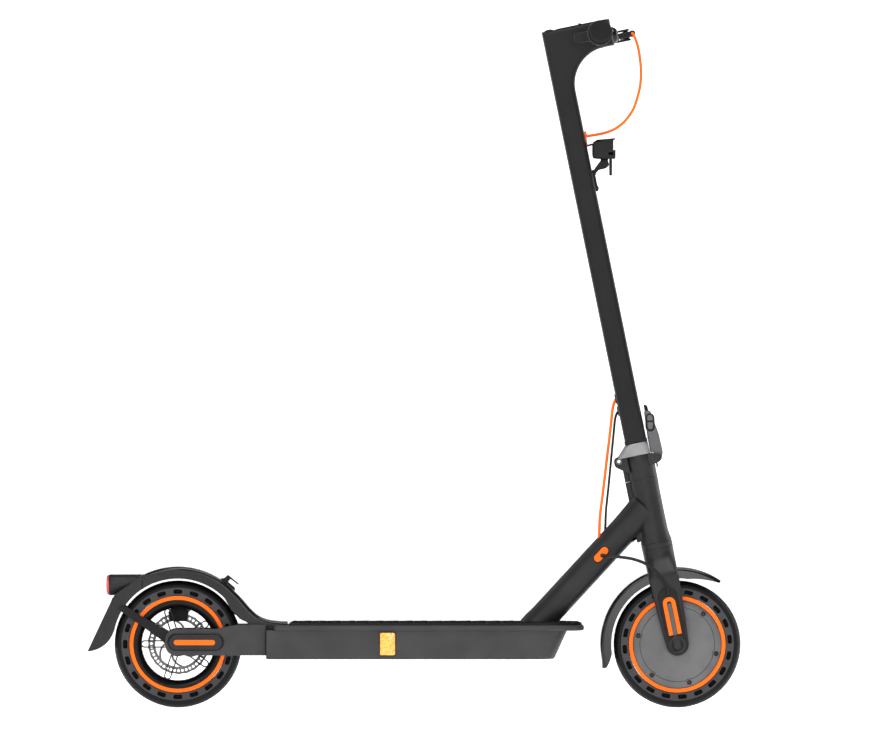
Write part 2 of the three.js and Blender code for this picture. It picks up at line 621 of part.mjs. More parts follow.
function rearWheel() {
  const spokeLength = 62;
  const rim = turnedY([
    [60, -15], [66, -rimHalf], [rimRadius, -rimHalf], [rimRadius, rimHalf], [66, rimHalf], [60, 15]], wheelSides);
  const hub = rodY(hubRadius, -hubHalf, rotorPlane - gap);
  const hairpin = pill(10, spokeLength, 0, 7);
  hairpin.holes.push(pill(12.5, spokeLength - 2.5, 0, 4.5));
  const spokes = [0, 1, 2, 3, 4].map((i) => across(hairpin, -5, 5).rotateY(-(0.1 + 0.4 * i) * halfTurn));
  piece('rear_rim', cut(join(hub, rim, ...spokes), rodY(12.3, -40, 40)), 'satinBlack', rear);
  piece('rear_tyre', tyre(), 'rubber', rear);
  piece('rear_hub_bearings', ringY(axleRadius + gap, 12, -hubHalf + 0.5, hubHalf - 0.5, smallSides), 'steel', rear);
  piece('brake_rotor', ringY(15, rotorRadius, rotorPlane, rotorPlane + rotorThickness, wheelSides), 'steel', rear);

  const inner = hubHalf + 0.6;
  const end = armInner + armThickness;
  const spacers = [-1, 1].map((side) => (side > 0
    ? rodY(9, inner + 3.2, armInner - gap) : rodY(9, -armInner + gap, -inner)));
  const nuts = [-1, 1].map((side) => {
    const [y0, y1] = side > 0 ? [end + gap, end + 6] : [-end - 6, -end - gap];
    return new THREE.CylinderGeometry(10, 10, y1 - y0, 6).translate(0, (y0 + y1) / 2, 0);
  });
  piece('rear_axle', join(rodY(axleRadius, -end - 7, end + 7), ...spacers, ...nuts), 'steel', rear);
}

// ---- Rear arms, fender and what it carries ----
function rearArms() {
  const half = armHeight / 2;
  const profile = outline([
    [deckRear - gap, armCentre - half], [-20.6, armCentre - half, half - 0.2],
    [-20.6, armCentre + half, half - 0.2], [66, armCentre + half], [98, armCentre + half + 7, 12],
    [deckRear - gap, armCentre + half + 7]]);
  for (const [name, side] of sides) {
    const arm = cut(across(profile, armInner, armInner + armThickness),
      rodY(axleRadius + gap, armInner - 5, armInner + armThickness + 5, 0, tyreRadius));
    piece(`rear_arm_${name}`, mirrored(arm, side), 'darkGrey', scooter);
  }
}

const rearFenderRadius = tyreRadius + fenderClearance + 2;
const flapHalf = 31;
const flapInner = 112;

function rearFender() {
  const half = fenderWidth / 2 + 2;
  const wall = fenderWall;
  const skirt = 18;
  const section = new THREE.Shape([
    [-half, skirt], [-half, 8], [-half + 8, 2], [0, 0], [half - 8, 2], [half, 8], [half, skirt],
    [half - wall, skirt], [half - wall, 8 + wall], [half - 8, 2 + wall], [0, wall],
    [-half + 8, 2 + wall], [-half + wall, 8 + wall], [-half + wall, skirt],
  ].map(([x, y]) => new THREE.Vector2(x, y)));
  const points = [];
  for (let angle = 116; angle > 38; angle -= 9) {
    const turn = THREE.MathUtils.degToRad(angle);
    points.push([rearFenderRadius * Math.cos(turn), tyreRadius + rearFenderRadius * Math.sin(turn)]);
  }
  points.push([123, deckTop + 29], [138, deckTop + 14], [deckRear + 12, deckTop + 7.5], [deckRear + 35, deckTop + 6]);
  const path = new THREE.CatmullRomCurve3(points.map(([x, z]) => new THREE.Vector3(x, 0, z)), false, 'centripetal');
  const sweep = new THREE.ExtrudeGeometry(section, { steps: 17, extrudePath: path });
  const deckSide = block([deckRear - 1, deckRear + 120], [-50, 50], [0, deckTop + gap]);
  piece('rear_fender', cut(sweep, deckSide), 'glossBlack', scooter);
}

function tail() {
  const outer = new THREE.Shape();
  outer.moveTo(flapTip, 93);
  outer.quadraticCurveTo(-120, 96, flapInner * Math.cos(2.93), tyreRadius + flapInner * Math.sin(2.93));
  outer.absarc(0, tyreRadius, flapInner, 2.93, 2.13, true);
  outer.lineTo(lightFront - gap, 214);
  outer.lineTo(-80, 204);
  outer.lineTo(-108, 183);
  outer.closePath();
  const inner = outline([[-142, 99], [-104, 116], [-90, 160], [-60, 190], [-50, 150], [-50, 208], [-78, 198], [-104, 178]]);
  const rearOfSeam = block([-200, lightFront], [-60, 60], [0, 400]);
  const flap = common(cut(across(outer, -flapHalf, flapHalf, 1), across(inner, -flapHalf + 2.5, flapHalf - 2.5)), rearOfSeam);
  piece('mud_flap', flap, 'darkGrey', scooter);

  const housing = turnedX([
    [0, lightRear], [lightRadius - 1.5, lightRear], [lightRadius, lightRear + 3], [lightRadius, lightFront],
    [0, lightFront]], 20).translate(0, 0, lightHeight);
  const seat = across(outline([
    [flapTip - gap, 92], [-100, 92], [-50, 150], [-50, 217.3], [lightFront, 214.6], [-80.2, 204.5], [-108.4, 183.4]]), -40, 40);
  const fenderInside = rodY(rearFenderRadius + gap, -32.5, 32.5, 0, tyreRadius, wheelSides);
  const bay = block([lightFront - 2, lightFront + 40], [-40, 40], [0, 400]);
  piece('taillight_housing', cut(housing, seat, common(fenderInside, bay)), 'darkGrey', scooter);
  piece('taillight_lens', turnedX([
    [0, lightRear - 4.8], [12, lightRear - 4.2], [lightRadius - 2, lightRear - 2], [lightRadius - 1.5, lightRear - gap],
    [0, lightRear - gap]], 20).translate(0, 0, lightHeight), 'red', scooter);
}

function fenderHook() {
  const seat = new THREE.Group();   // on the fender's crown, its Z pointing out from the axle
  const angle = THREE.MathUtils.degToRad(50.7);
  seat.position.set(rearFenderRadius * Math.cos(angle), 0, tyreRadius + rearFenderRadius * Math.sin(angle));
  seat.rotation.y = quarterTurn - angle;
  scooter.add(seat);
  const profile = outline([
    [-15, gap], [16, gap], [13, 2.6], [-1.5, 2.8], [-1.5, 9.5], [14.5, 9.8], [14.5, 11.6], [-8, 11.6, 1.5], [-10, 3]]);
  piece('fender_hook', across(profile, -9, 9), 'satinBlack', seat);
}

function fenderStay() {
  const legFrom = 34.5;
  const legTo = 37.5;
  const tipX = -86.5;
  const tipZ = 56.5;
  const reach = Math.hypot(tipX, tipZ) + 7;
  const slope = Math.atan2(tipZ, -tipX);
  const leg = cut(join(rodY(14, legFrom, legTo), across(pill(9, reach, 0, 5), legFrom, legTo)
    .rotateY(slope + halfTurn)), rodY(9.4, 0, 60));
  const bar = rodY(1.8, -legTo, legTo, tipX * 1.045, tipZ * 1.045, 10);
  piece('fender_stay', join(leg, acrossPlane(leg), bar), 'darkGrey', rear);
}

// ---- Rear brake ----
const caliperTop = 62;
function rearBrake() {
  const body = across(outline([[-14, 37, 3], [14, 37, 3], [16, 52, 4], [10, caliperTop, 4], [-10, caliperTop, 4], [-16, 52, 4]]), 26.5, 41);
  const slot = block([-30, 30], [rotorPlane - 0.8, rotorPlane + rotorThickness + 0.8], [20, rotorRadius + 2]);
  const pin = rodY(3, 39, 47, 0, 50, 10);
  piece('brake_caliper', join(cut(body, slot), pin), 'satinBlack', rear);
  const arm = across(outline([[-7, 44, 5], [7, 44, 5], [28, 62, 4], [24, 70, 4], [-7, 57, 5]]), 41.4, 44.4);
  piece('caliper_arm', cut(arm, rodY(3.3, 30, 60, 0, 50, 10)), 'steel', rear);
}

// ---- Kickstand, stowed along the deck's left side ----
const standX = deckRear + 124;
const standZ = 96;
const standTilt = THREE.MathUtils.degToRad(25.3);

function kickstand() {
  const place = (geometry) => geometry.rotateX(standTilt).translate(standX, deckHalf + 7.3, standZ);
  const pin = place(rodY(4, -4, 15.5, 0, 0, 12));
  const plate = block([standX - 16, standX + 16], [deckHalf + gap, deckHalf + 7], [deckBottom + 3, 112]);
  piece('kickstand_bracket', join(plate, cut(pin, block([0, 500], [0, deckHalf + gap], [0, 200]))), 'satinBlack', scooter);
  const hub = ringY(4.3, 10, 6.6, 15, smallSides);
  const leg = across(pill(-116, -6, 0, 5), 7, 14.5);
  const foot = block([-118, -104], [5, 16], [-6, 6]);
  piece('kickstand_leg', place(join(hub, leg, foot)), 'satinBlack', scooter);
}

// ---- Cords that the scooter holds all the way ----
function cords() {
  piece('front_brake_cable', cord([
    [130, 49.5, -30], [130.5, 45.3, -30.5], [132.5, 39.5, -37], [134.4, 34, -53], [133.9, 29.5, -72],
    [131.3, 25, -94], [125.5, 19, -116.5], [116.3, 14, -136.8], [106.3, 10, -153.5], [94.9, 7, -165.4],
    [83.1, 4.5, -174], [68.6, 2.5, -180.4], [53, 1, -183.2], [36.6, 0, -183.4], [25, 0, -182.8]],
  2.3, 28).translate(0, 0, stemTop), 'orange', front);

  const inRow = ([x, y, z]) => [wheelbase + x, y, tyreRadius + z];
  piece('rear_brake_cable', cord([
    [-104, -6, 404], [-106.5, -6, 392], [-110.5, -6, 368], [-113.5, -6, 340], [-117.5, -6, 310],
    [-121, -6, 278], [-124.5, -6, 245], [-127.5, -6, 212], [-128.6, -6, 183.4]].map(inRow), 2.4, 20), 'orange', scooter);
  piece('signal_cable', cord([
    [-100.5, 6, 383], [-102.5, 6, 372], [-106, 6, 350], [-109, 6, 320], [-112, 6, 288],
    [-115, 6, 254], [-117.3, 6, 222], [-118.2, 6, 196.4]].map(inRow), 2, 18), 'rubber', scooter);
  piece('motor_cable', cord([
    [-124, -24.6, 146.5], [-122, -32, 146.5], [-114, -38, 146.2], [-95, -42, 144.5], [-73, -45.5, 141],
    [-52, -48.5, 133], [-34, -50.5, 119], [-20, -51.5, 101], [-15.5, -53.5, 90], [-15.5, -53, 81],
    [-16, -49.6, 74]].map(inRow), 2.6, 24), 'rubber', scooter);
  piece('caliper_cable', cord([
    [deckRear - 2, 62, 118], [136, 61, 121], [118, 57, 138], [95, 53, 154], [70, 49, 166], [48, 45.5, 171],
    [34, 42.9, 172.5]], 2.3, 16), 'rubber', scooter);
}

deckPieces();
chargeCap();
sideReflectors();
frameTubes();
fork();
foldBase();
stemCollar();
latch();
stemTube();
barPieces();
brakeLever();
throttle();
bell();
headlight();
frontWheel();
frontFender();
rearWheel();
rearArms();
rearFender();
tail();
fenderHook();
fenderStay();
rearBrake();
kickstand();
cords();

// The origin is on the ground, under the middle of the whole scooter's length.
scooter.updateMatrixWorld(true);
const extent = new THREE.Box3().setFromObject(scooter, true);
scooter.position.x = -(extent.min.x + extent.max.x) / 2;

export default scooter;
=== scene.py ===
import json
import math

import bmesh
import bpy
import numpy as np
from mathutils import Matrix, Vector
from mathutils.geometry import tessellate_polygon


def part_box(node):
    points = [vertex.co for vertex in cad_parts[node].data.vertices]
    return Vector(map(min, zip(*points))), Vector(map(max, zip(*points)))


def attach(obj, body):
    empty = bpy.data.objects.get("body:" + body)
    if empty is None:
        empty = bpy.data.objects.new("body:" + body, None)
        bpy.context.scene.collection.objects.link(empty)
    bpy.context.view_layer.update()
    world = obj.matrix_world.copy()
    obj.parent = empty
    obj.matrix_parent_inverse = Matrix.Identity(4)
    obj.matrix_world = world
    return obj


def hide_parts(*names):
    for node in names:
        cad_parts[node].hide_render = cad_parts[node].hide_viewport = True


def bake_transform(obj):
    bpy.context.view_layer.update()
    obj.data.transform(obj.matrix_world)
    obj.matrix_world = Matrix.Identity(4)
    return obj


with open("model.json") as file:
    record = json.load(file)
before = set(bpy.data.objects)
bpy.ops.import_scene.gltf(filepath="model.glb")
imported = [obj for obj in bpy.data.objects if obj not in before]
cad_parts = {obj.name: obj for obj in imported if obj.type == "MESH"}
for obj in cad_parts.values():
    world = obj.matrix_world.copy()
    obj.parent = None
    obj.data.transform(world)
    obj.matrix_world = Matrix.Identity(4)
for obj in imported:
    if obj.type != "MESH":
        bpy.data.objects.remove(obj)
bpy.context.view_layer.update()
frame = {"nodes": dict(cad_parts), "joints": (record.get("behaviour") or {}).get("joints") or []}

mm = 0.001
turn = 2 * math.pi


def middleOf(node):  # the middle of a CAD node's box, in millimetres
    low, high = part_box(node)
    return np.array((low + high) / 2) / mm


rearAxle = middleOf("rear_tyre")
frontAxle = middleOf("front_tyre")
steerAxis = next(j["axis"] for j in frame["joints"] if j["name"] == "steering_turn")
lean = math.atan2(-steerAxis[0], steerAxis[2])


def fromRear(points):
    return points + rearAxle


def fromFront(points):  # steering frame to row frame: turned back by the lean, then moved to the front axle
    u, y, s = np.moveaxis(points, -1, 0)
    return np.stack([u * math.cos(lean) - s * math.sin(lean), y,
                     u * math.sin(lean) + s * math.cos(lean)], -1) + frontAxle


# shapes: each is a pair of points and faces
def gridFaces(rows, columns, loopRows=False, loopColumns=False):  # quads between neighbouring grid points
    i, j = np.meshgrid(np.arange(rows - (not loopRows)), np.arange(columns - (not loopColumns)),
                       indexing="ij")
    nextI, nextJ = (i + 1) % rows, (j + 1) % columns
    return np.stack([i * columns + j, i * columns + nextJ, nextI * columns + nextJ, nextI * columns + j],
                    -1).reshape(-1, 4).tolist()


def turned(profile, sides=96, centre=(0, 0)):
    # [radius, y] points go once round the Y axis: x = r cos a, z = r sin a. A profile off the axis is a loop.
    r, y = np.asarray(profile, float).T
    a = np.linspace(0, turn, sides, endpoint=False)[:, None]
    points = np.stack([centre[0] + r * np.cos(a), np.broadcast_to(y, (sides, len(y))),
                       centre[1] + r * np.sin(a)], -1)
    return points.reshape(-1, 3), gridFaces(sides, len(y), True, profile[0][0] > 0)


def swap(shape, order):  # the same shape with its axes taken in another order
    return shape[0][:, order], shape[1]


def turnedUp(profile, sides=96):  # [radius, z] points go once round the Z axis
    return swap(turned(profile, sides), [0, 2, 1])


def turnedAlong(profile, sides):  # [radius, x] points go once round the X axis
    return swap(turned(profile, sides), [1, 0, 2])


def moved(shape, offset):
    return shape[0] + offset, shape[1]


def onSide(shape, side):  # side -1 is the right, where y is negative, and 1 the left
    return shape[0] * [1, side, 1], shape[1]


def closedRows(points):  # rows of loops joined to a skin, with a face over the first row and the last
    rows, columns = points.shape[:2]
    ends = [list(range(columns)), list(range((rows - 1) * columns, rows * columns))]
    return points.reshape(-1, 3), gridFaces(rows, columns, False, True) + ends


def lofted(sections, origins, sideways, outward):
    # each row is origin + section x times sideways + section y times outward
    sections = np.asarray(sections, float)
    sideways = np.broadcast_to(np.asarray(sideways, float), origins.shape)
    outward = np.broadcast_to(np.asarray(outward, float), origins.shape)
    return closedRows(origins[:, None] + sections[..., :1] * sideways[:, None]
                      + sections[..., 1:] * outward[:, None])


def swept(section, path, across=(0, 1, 0), scale=None):
    # a section carried along a path, its x kept near across and its y square to both
    path = np.asarray(path, float)
    along = np.gradient(path, axis=0)
    along /= np.linalg.norm(along, axis=1, keepdims=True)
    side = np.asarray(across, float) - along * (along @ np.asarray(across, float))[:, None]
    side /= np.linalg.norm(side, axis=1, keepdims=True)
    sizes = np.ones(len(path)) if scale is None else np.asarray(scale, float)
    return lofted(np.asarray(section, float) * sizes[:, None, None], path, side, np.cross(along, side))


def slab(top, bottom):  # two grids of the same size, joined round their borders
    rows, columns = top.shape[:2]
    n = rows * columns
    upper = gridFaces(rows, columns)
    rim = ([(0, j) for j in range(columns)] + [(i, columns - 1) for i in range(1, rows)]
           + [(rows - 1, j) for j in range(columns - 2, -1, -1)] + [(i, 0) for i in range(rows - 2, 0, -1)])
    edge = [i * columns + j for i, j in rim]
    walls = [[a, b, b + n, a + n] for a, b in zip(edge, edge[1:] + edge[:1])]
    lower = [[n + k for k in face] for face in upper]
    return np.concatenate([top.reshape(-1, 3), bottom.reshape(-1, 3)]), upper + lower + walls


# where a plate's x, y and z come from: its outline's x is 0 and y is 1, and 2 is its thickness
axisOrder = {"y": [0, 2, 1], "z": [0, 1, 2], "x": [2, 0, 1]}


def plate(loops, low, high, axis="y"):
    # flat outlines, the first the rim and the rest holes, given a thickness along an axis
    flat = np.concatenate([np.asarray(loop, float) for loop in loops])
    n = len(flat)
    if len(loops) == 1:
        cap = [list(range(n))]
    else:
        corners = [[Vector((p[0], p[1], 0)) for p in loop] for loop in loops]
        cap = [list(t) for t in tessellate_polygon(corners)]
    faces = cap + [[n + k for k in face] for face in cap]
    start = 0
    for loop in loops:
        ring = list(range(start, start + len(loop)))
        faces += [[a, b, b + n, a + n] for a, b in zip(ring, ring[1:] + ring[:1])]
        start += len(loop)
    points = np.concatenate([np.insert(flat, 2, level, axis=1) for level in (low, high)])
    return points[:, axisOrder[axis]], faces


def softPlate(outline, low, high, radius, axis="y", steps=4):
    # an outline with thickness and rounded rims: each row is the outline moved in by radius (1 - sin)
    outline = np.asarray(outline, float)
    x, y = outline.T
    if np.sum(x * np.roll(y, -1) - np.roll(x, -1) * y) < 0:
        outline = outline[::-1]
    edge = np.roll(outline, -1, 0) - outline
    normal = np.stack([edge[:, 1], -edge[:, 0]], -1) / np.linalg.norm(edge, axis=1, keepdims=True)
    before = np.roll(normal, 1, 0)
    miter = (normal + before) / np.maximum(1 + np.sum(normal * before, 1, keepdims=True), 0.3)
    a = np.linspace(0, turn / 4, steps + 1)
    inset = np.concatenate([radius * (1 - np.sin(a)), radius * (1 - np.sin(a[::-1]))])
    level = np.concatenate([low + radius * (1 - np.cos(a)), high - radius * (1 - np.cos(a[::-1]))])
    rows = outline[None] - miter[None] * inset[:, None, None]
    levels = np.broadcast_to(level[:, None, None], rows.shape[:2] + (1,))
    return swap(closedRows(np.concatenate([rows, levels], -1)), axisOrder[axis])


def ring(radius, count=48, centre=(0, 0), start=0.0):
    a = start + np.linspace(0, turn, count, endpoint=False)
    return np.stack([centre[0] + radius * np.cos(a), centre[1] + radius * np.sin(a)], -1)


def pill(x0, x1, y, radius, steps=14):  # a bar with round ends along x
    a = np.linspace(-turn / 4, turn / 4, steps)
    right = np.stack([x1 - radius + radius * np.cos(a), y + radius * np.sin(a)], -1)
    left = np.stack([x0 + radius - radius * np.cos(a), y - radius * np.sin(a)], -1)
    return np.concatenate([right, left])


def upright(outline):
    return np.asarray(outline)[:, ::-1]


def rounded(corners, steps=7):
    # straight lines between [x, y, radius] corners, each corner turned on a curve that touches both lines
    points = np.array([c[:2] for c in corners], float)
    radii = [c[2] if len(c) > 2 else 0 for c in corners]
    out = []
    t = np.linspace(0, 1, steps)[:, None]
    for here, back, ahead, radius in zip(points, np.roll(points, 1, 0), np.roll(points, -1, 0), radii):
        if not radius:
            out.append(here[None])
            continue
        toBack = (back - here) / np.linalg.norm(back - here)
        toAhead = (ahead - here) / np.linalg.norm(ahead - here)
        half = math.acos(float(np.clip(toBack @ toAhead, -1, 1))) / 2
        reach = radius / math.tan(half)
        enter, leave = here + toBack * reach, here + toAhead * reach
        out.append((1 - t) ** 2 * enter + 2 * t * (1 - t) * here + t ** 2 * leave)
    return np.concatenate(out)


def roundedBox(halfX, halfY, radius, steps=6):
    # a rounded rectangle as a section, the same count for any size
    a = np.linspace(0, turn / 4, steps)
    quarter = np.stack([np.cos(a), np.sin(a)], -1) * radius
    corner = np.array([halfX - radius, halfY - radius])
    first = quarter + corner
    second = first[::-1] * [-1, 1]
    return np.concatenate([first, second, -first, -second])


def smoothPath(points, count):  # a curve through the points, with the same pull at each as a cord's own bend
    points = np.asarray(points, float)
    ends = np.concatenate([[2 * points[0] - points[1]], points, [2 * points[-1] - points[-2]]])
    where = np.linspace(0, len(points) - 1.000001, count)
    i = where.astype(int)
    t = (where - i)[:, None]
    a, b, c, d = ends[i], ends[i + 1], ends[i + 2], ends[i + 3]
    return 0.5 * (2 * b + (c - a) * t + (2 * a - 5 * b + 4 * c - d) * t ** 2
                  + (3 * b - a - 3 * c + d) * t ** 3)


# materials
def linear(code):
    srgb = [int(code[i:i + 2], 16) / 255 for i in (1, 3, 5)]
    return tuple(c / 12.92 if c < 0.04 else ((c + 0.055) / 1.055) ** 2.4 for c in srgb) + (1,)


def newGroup(name, inputs, outputs):
    group = bpy.data.node_groups.new(name, "ShaderNodeTree")
    for socket, kind, value in inputs:
        made = group.interface.new_socket(socket, in_out="INPUT", socket_type=kind)
        made.default_value = value
    for socket, kind in outputs:
        group.interface.new_socket(socket, in_out="OUTPUT", socket_type=kind)
    return group, group.nodes.new("NodeGroupInput").outputs, group.nodes.new("NodeGroupOutput").inputs


def addNode(tree, kind, settings=None, **links):
    node = tree.nodes.new("ShaderNode" + kind)
    for key, value in (settings or {}).items():
        setattr(node, key, value)
    for key, value in links.items():
        socket = node.inputs[int(key[1:])] if key[0] == "i" and key[1:].isdigit() else node.inputs[key]
        if isinstance(value, bpy.types.NodeSocket):
            tree.links.new(value, socket)
        else:
            socket.default_value = value
    return node


def mathNode(tree, operation, first, second=0.0, clamp=False):
    return addNode(tree, "Math", {"operation": operation, "use_clamp": clamp}, i0=first, i1=second).outputs[0]


# fine grain: small raised specks for a bump, and a slow change of shade
grainGroup, gIn, gOut = newGroup("fineGrain", [("Size", "NodeSocketFloat", 900.0),
                                               ("Patch", "NodeSocketFloat", 18.0)],
                                 [("Height", "NodeSocketFloat"), ("Shade", "NodeSocketFloat")])
gPlace = addNode(grainGroup, "TexCoord").outputs["Object"]
gFine = addNode(grainGroup, "TexNoise", Vector=gPlace, Scale=gIn["Size"], Detail=2.0)
gSlow = addNode(grainGroup, "TexNoise", Vector=gPlace, Scale=gIn["Patch"], Detail=4.0)
grainGroup.links.new(gFine.outputs["Fac"], gOut["Height"])
grainGroup.links.new(gSlow.outputs["Fac"], gOut["Shade"])

# edge wear: where a surface softened over the width turns away from the true one, broken up by noise
wearGroup, wIn, wOut = newGroup("edgeWear", [("Width", "NodeSocketFloat", 0.0008),
                                             ("Amount", "NodeSocketFloat", 0.5)],
                                [("Mask", "NodeSocketFloat")])
wSoft = addNode(wearGroup, "Bevel", {"samples": 4}, Radius=wIn["Width"])
wTrue = addNode(wearGroup, "NewGeometry")
wDot = addNode(wearGroup, "VectorMath", {"operation": "DOT_PRODUCT"})
wearGroup.links.new(wSoft.outputs["Normal"], wDot.inputs[0])
wearGroup.links.new(wTrue.outputs["Normal"], wDot.inputs[1])
wBreak = addNode(wearGroup, "TexNoise", Vector=addNode(wearGroup, "TexCoord").outputs["Object"], Scale=220.0)
wEdge = mathNode(wearGroup, "MULTIPLY", mathNode(wearGroup, "SUBTRACT", 1.0, wDot.outputs["Value"]), 3.0,
                 True)
wMask = mathNode(wearGroup, "MULTIPLY", wEdge, wBreak.outputs["Fac"])
wearGroup.links.new(mathNode(wearGroup, "MULTIPLY", wMask, wIn["Amount"], True), wOut["Mask"])

# handling film: slow smudges that change the gloss
filmGroup, fIn, fOut = newGroup("handlingFilm", [("Gloss", "NodeSocketFloat", 0.4),
                                                 ("Spread", "NodeSocketFloat", 0.08)],
                                [("Roughness", "NodeSocketFloat")])
fSmudge = addNode(filmGroup, "TexNoise", Vector=addNode(filmGroup, "TexCoord").outputs["Object"], Scale=26.0,
                  Detail=5.0)
fShift = mathNode(filmGroup, "MULTIPLY", mathNode(filmGroup, "SUBTRACT", fSmudge.outputs["Fac"], 0.5),
                  fIn["Spread"])
filmGroup.links.new(mathNode(filmGroup, "ADD", fShift, fIn["Gloss"]), fOut["Roughness"])


def newMaterial(name):
    material = bpy.data.materials.new(name)
    material.use_nodes = True
    tree = material.node_tree
    return material, tree, tree.nodes["Principled BSDF"]


def useGroup(tree, group, **values):
    node = tree.nodes.new("ShaderNodeGroup")
    node.node_tree = group
    for key, value in values.items():
        node.inputs[key].default_value = value
    return node


def coating(name, colour, gloss, metal=0.0, grain=900.0, depth=0.00004, patch=18.0, shade=0.12, wear=0.25,
            edge=0.0008, coat=0.0, lift="#6a6a6a", spread=0.08, shine=0.18):
    # a painted, anodised or moulded finish: grain in the bump, slow shade in the colour, lighter worn edges
    material, tree, surface = newMaterial(name)
    grains = useGroup(tree, grainGroup, Size=grain, Patch=patch)
    wears = useGroup(tree, wearGroup, Width=edge, Amount=wear)
    film = useGroup(tree, filmGroup, Gloss=gloss, Spread=spread)
    base = np.array(linear(colour)[:3])
    ramp = addNode(tree, "ValToRGB", i0=grains.outputs["Shade"])
    ramp.color_ramp.elements[0].color = (*(base * (1 - shade)), 1)
    ramp.color_ramp.elements[1].color = (*(base * (1 + shade)), 1)
    ramp.color_ramp.elements[0].position, ramp.color_ramp.elements[1].position = 0.35, 0.65
    mix = addNode(tree, "Mix", {"data_type": "RGBA"}, i0=wears.outputs["Mask"], i6=ramp.outputs["Color"],
                  i7=linear(lift))
    tree.links.new(mix.outputs[2], surface.inputs["Base Color"])
    tree.links.new(film.outputs["Roughness"], surface.inputs["Roughness"])
    bump = addNode(tree, "Bump", Height=grains.outputs["Height"], Distance=depth, Strength=1.0)
    tree.links.new(bump.outputs["Normal"], surface.inputs["Normal"])
    surface.inputs["Metallic"].default_value = metal
    surface.inputs["Specular IOR Level"].default_value = shine
    surface.inputs["Coat Weight"].default_value = coat
    surface.inputs["Coat Roughness"].default_value = 0.08
    return material


finishes = {
    "stemBlack": coating("stemBlack", "#151516", 0.42, 0.25, depth=0.00002, wear=0.12),
    "frameGrey": coating("frameGrey", "#252526", 0.42, 0.2, depth=0.00003, wear=0.15),
    "deckGrey": coating("deckGrey", "#373738", 0.55, 0.15, depth=0.00003, wear=0.12),
    "midGrey": coating("midGrey", "#555557", 0.5, 0.3, depth=0.00003, wear=0.15),
    "motorGrey": coating("motorGrey", "#5a5a5b", 0.42, 0.45, grain=1400, depth=0.00003, wear=0.1),
    "collarGrey": coating("collarGrey", "#7c7c7c", 0.45, 0.35, depth=0.00003, wear=0.2, lift="#c8c8c8"),
    "glossBlack": coating("glossBlack", "#0c0c0d", 0.22, 0.0, depth=0.000005, coat=0.3, wear=0.04,
                          spread=0.05),
    "mouldedBlack": coating("mouldedBlack", "#131314", 0.5, 0.0, grain=1500, depth=0.00006, wear=0.1),
    "rimBlack": coating("rimBlack", "#0c0c0d", 0.28, 0.2, depth=0.00001, wear=0.06),
    "gripRubber": coating("gripRubber", "#121213", 0.72, 0.0, grain=2200, depth=0.00012, wear=0.06),
    "matRubber": coating("matRubber", "#0d0d0e", 0.42, 0.0, grain=1800, depth=0.00008, wear=0.05),
    "tyreRubber": coating("tyreRubber", "#070708", 0.6, 0.0, grain=700, depth=0.00012, shade=0.2, wear=0.05),
    "orange": coating("orange", "#f56400", 0.42, 0.0, depth=0.00001, shade=0.05, wear=0.08, lift="#ff8a30"),
    "orangeJacket": coating("orangeJacket", "#f06000", 0.38, 0.0, depth=0.00001, shade=0.06, wear=0.02,
                            lift="#ff8a30"),
    "blackJacket": coating("blackJacket", "#161617", 0.4, 0.0, depth=0.00001, wear=0.02),
    "steel": coating("steel", "#6c6d6f", 0.4, 0.6, grain=1600, depth=0.00002, wear=0.15, lift="#e0e0e0"),
    "darkSteel": coating("darkSteel", "#4c4d4f", 0.35, 0.8, depth=0.00002, wear=0.2, lift="#b0b0b0"),
    "batteryWrap": coating("batteryWrap", "#2c5a38", 0.5, 0.0),
    "screen": coating("screen", "#050507", 0.08, 0.0, depth=0.0, shade=0.3, wear=0.0, coat=1.0, spread=0.03),
}


def lensMaterial(name, colour, cell, depth, glow):
    # a coloured lens over small prisms: cells in the bump, a deeper colour between them; glow is an emission
    # strength, which on a part that is no lamp is a painted glow
    material, tree, surface = newMaterial(name)
    place = addNode(tree, "TexCoord").outputs["Object"]
    cells = addNode(tree, "TexVoronoi", {"feature": "F1"}, Vector=place, Scale=cell)
    edges = addNode(tree, "TexVoronoi", {"feature": "DISTANCE_TO_EDGE"}, Vector=place, Scale=cell)
    ramp = addNode(tree, "ValToRGB", i0=cells.outputs["Color"])
    base = np.array(linear(colour)[:3])
    ramp.color_ramp.elements[0].color = (*(base * 0.55), 1)
    ramp.color_ramp.elements[1].color = (*np.minimum(base * 1.5 + 0.02, 1), 1)
    tree.links.new(ramp.outputs["Color"], surface.inputs["Base Color"])
    tree.links.new(ramp.outputs["Color"], surface.inputs["Emission Color"])
    surface.inputs["Emission Strength"].default_value = glow
    bump = addNode(tree, "Bump", Height=edges.outputs["Distance"], Distance=depth, Strength=1.0)
    tree.links.new(bump.outputs["Normal"], surface.inputs["Normal"])
    surface.inputs["Roughness"].default_value = 0.16
    surface.inputs["Coat Weight"].default_value = 0.8
    surface.inputs["Coat Roughness"].default_value = 0.03
    return material


tyreTree = finishes["tyreRubber"].node_tree
tyreSurface = tyreTree.nodes["Principled BSDF"]
plain = tyreSurface.inputs["Base Color"].links[0].from_socket
bandMask = addNode(tyreTree, "Attribute", {"attribute_name": "sideBand"})
banded = addNode(tyreTree, "Mix", {"data_type": "RGBA"}, i0=bandMask.outputs["Fac"], i6=plain,
                 i7=linear("#39393b"))
tyreTree.links.new(banded.outputs[2], tyreSurface.inputs["Base Color"])
# the amber side reflectors are no lamp: their emission of 0.12 is a painted glow
finishes["amber"] = lensMaterial("amber", "#f59a12", 420, 0.0006, 0.12)
finishes["redLens"] = lensMaterial("redLens", "#d0101e", 300, 0.0004, 0.2)
finishes["lampLens"] = lensMaterial("lampLens", "#d8dcdf", 260, 0.0005, 0.05)


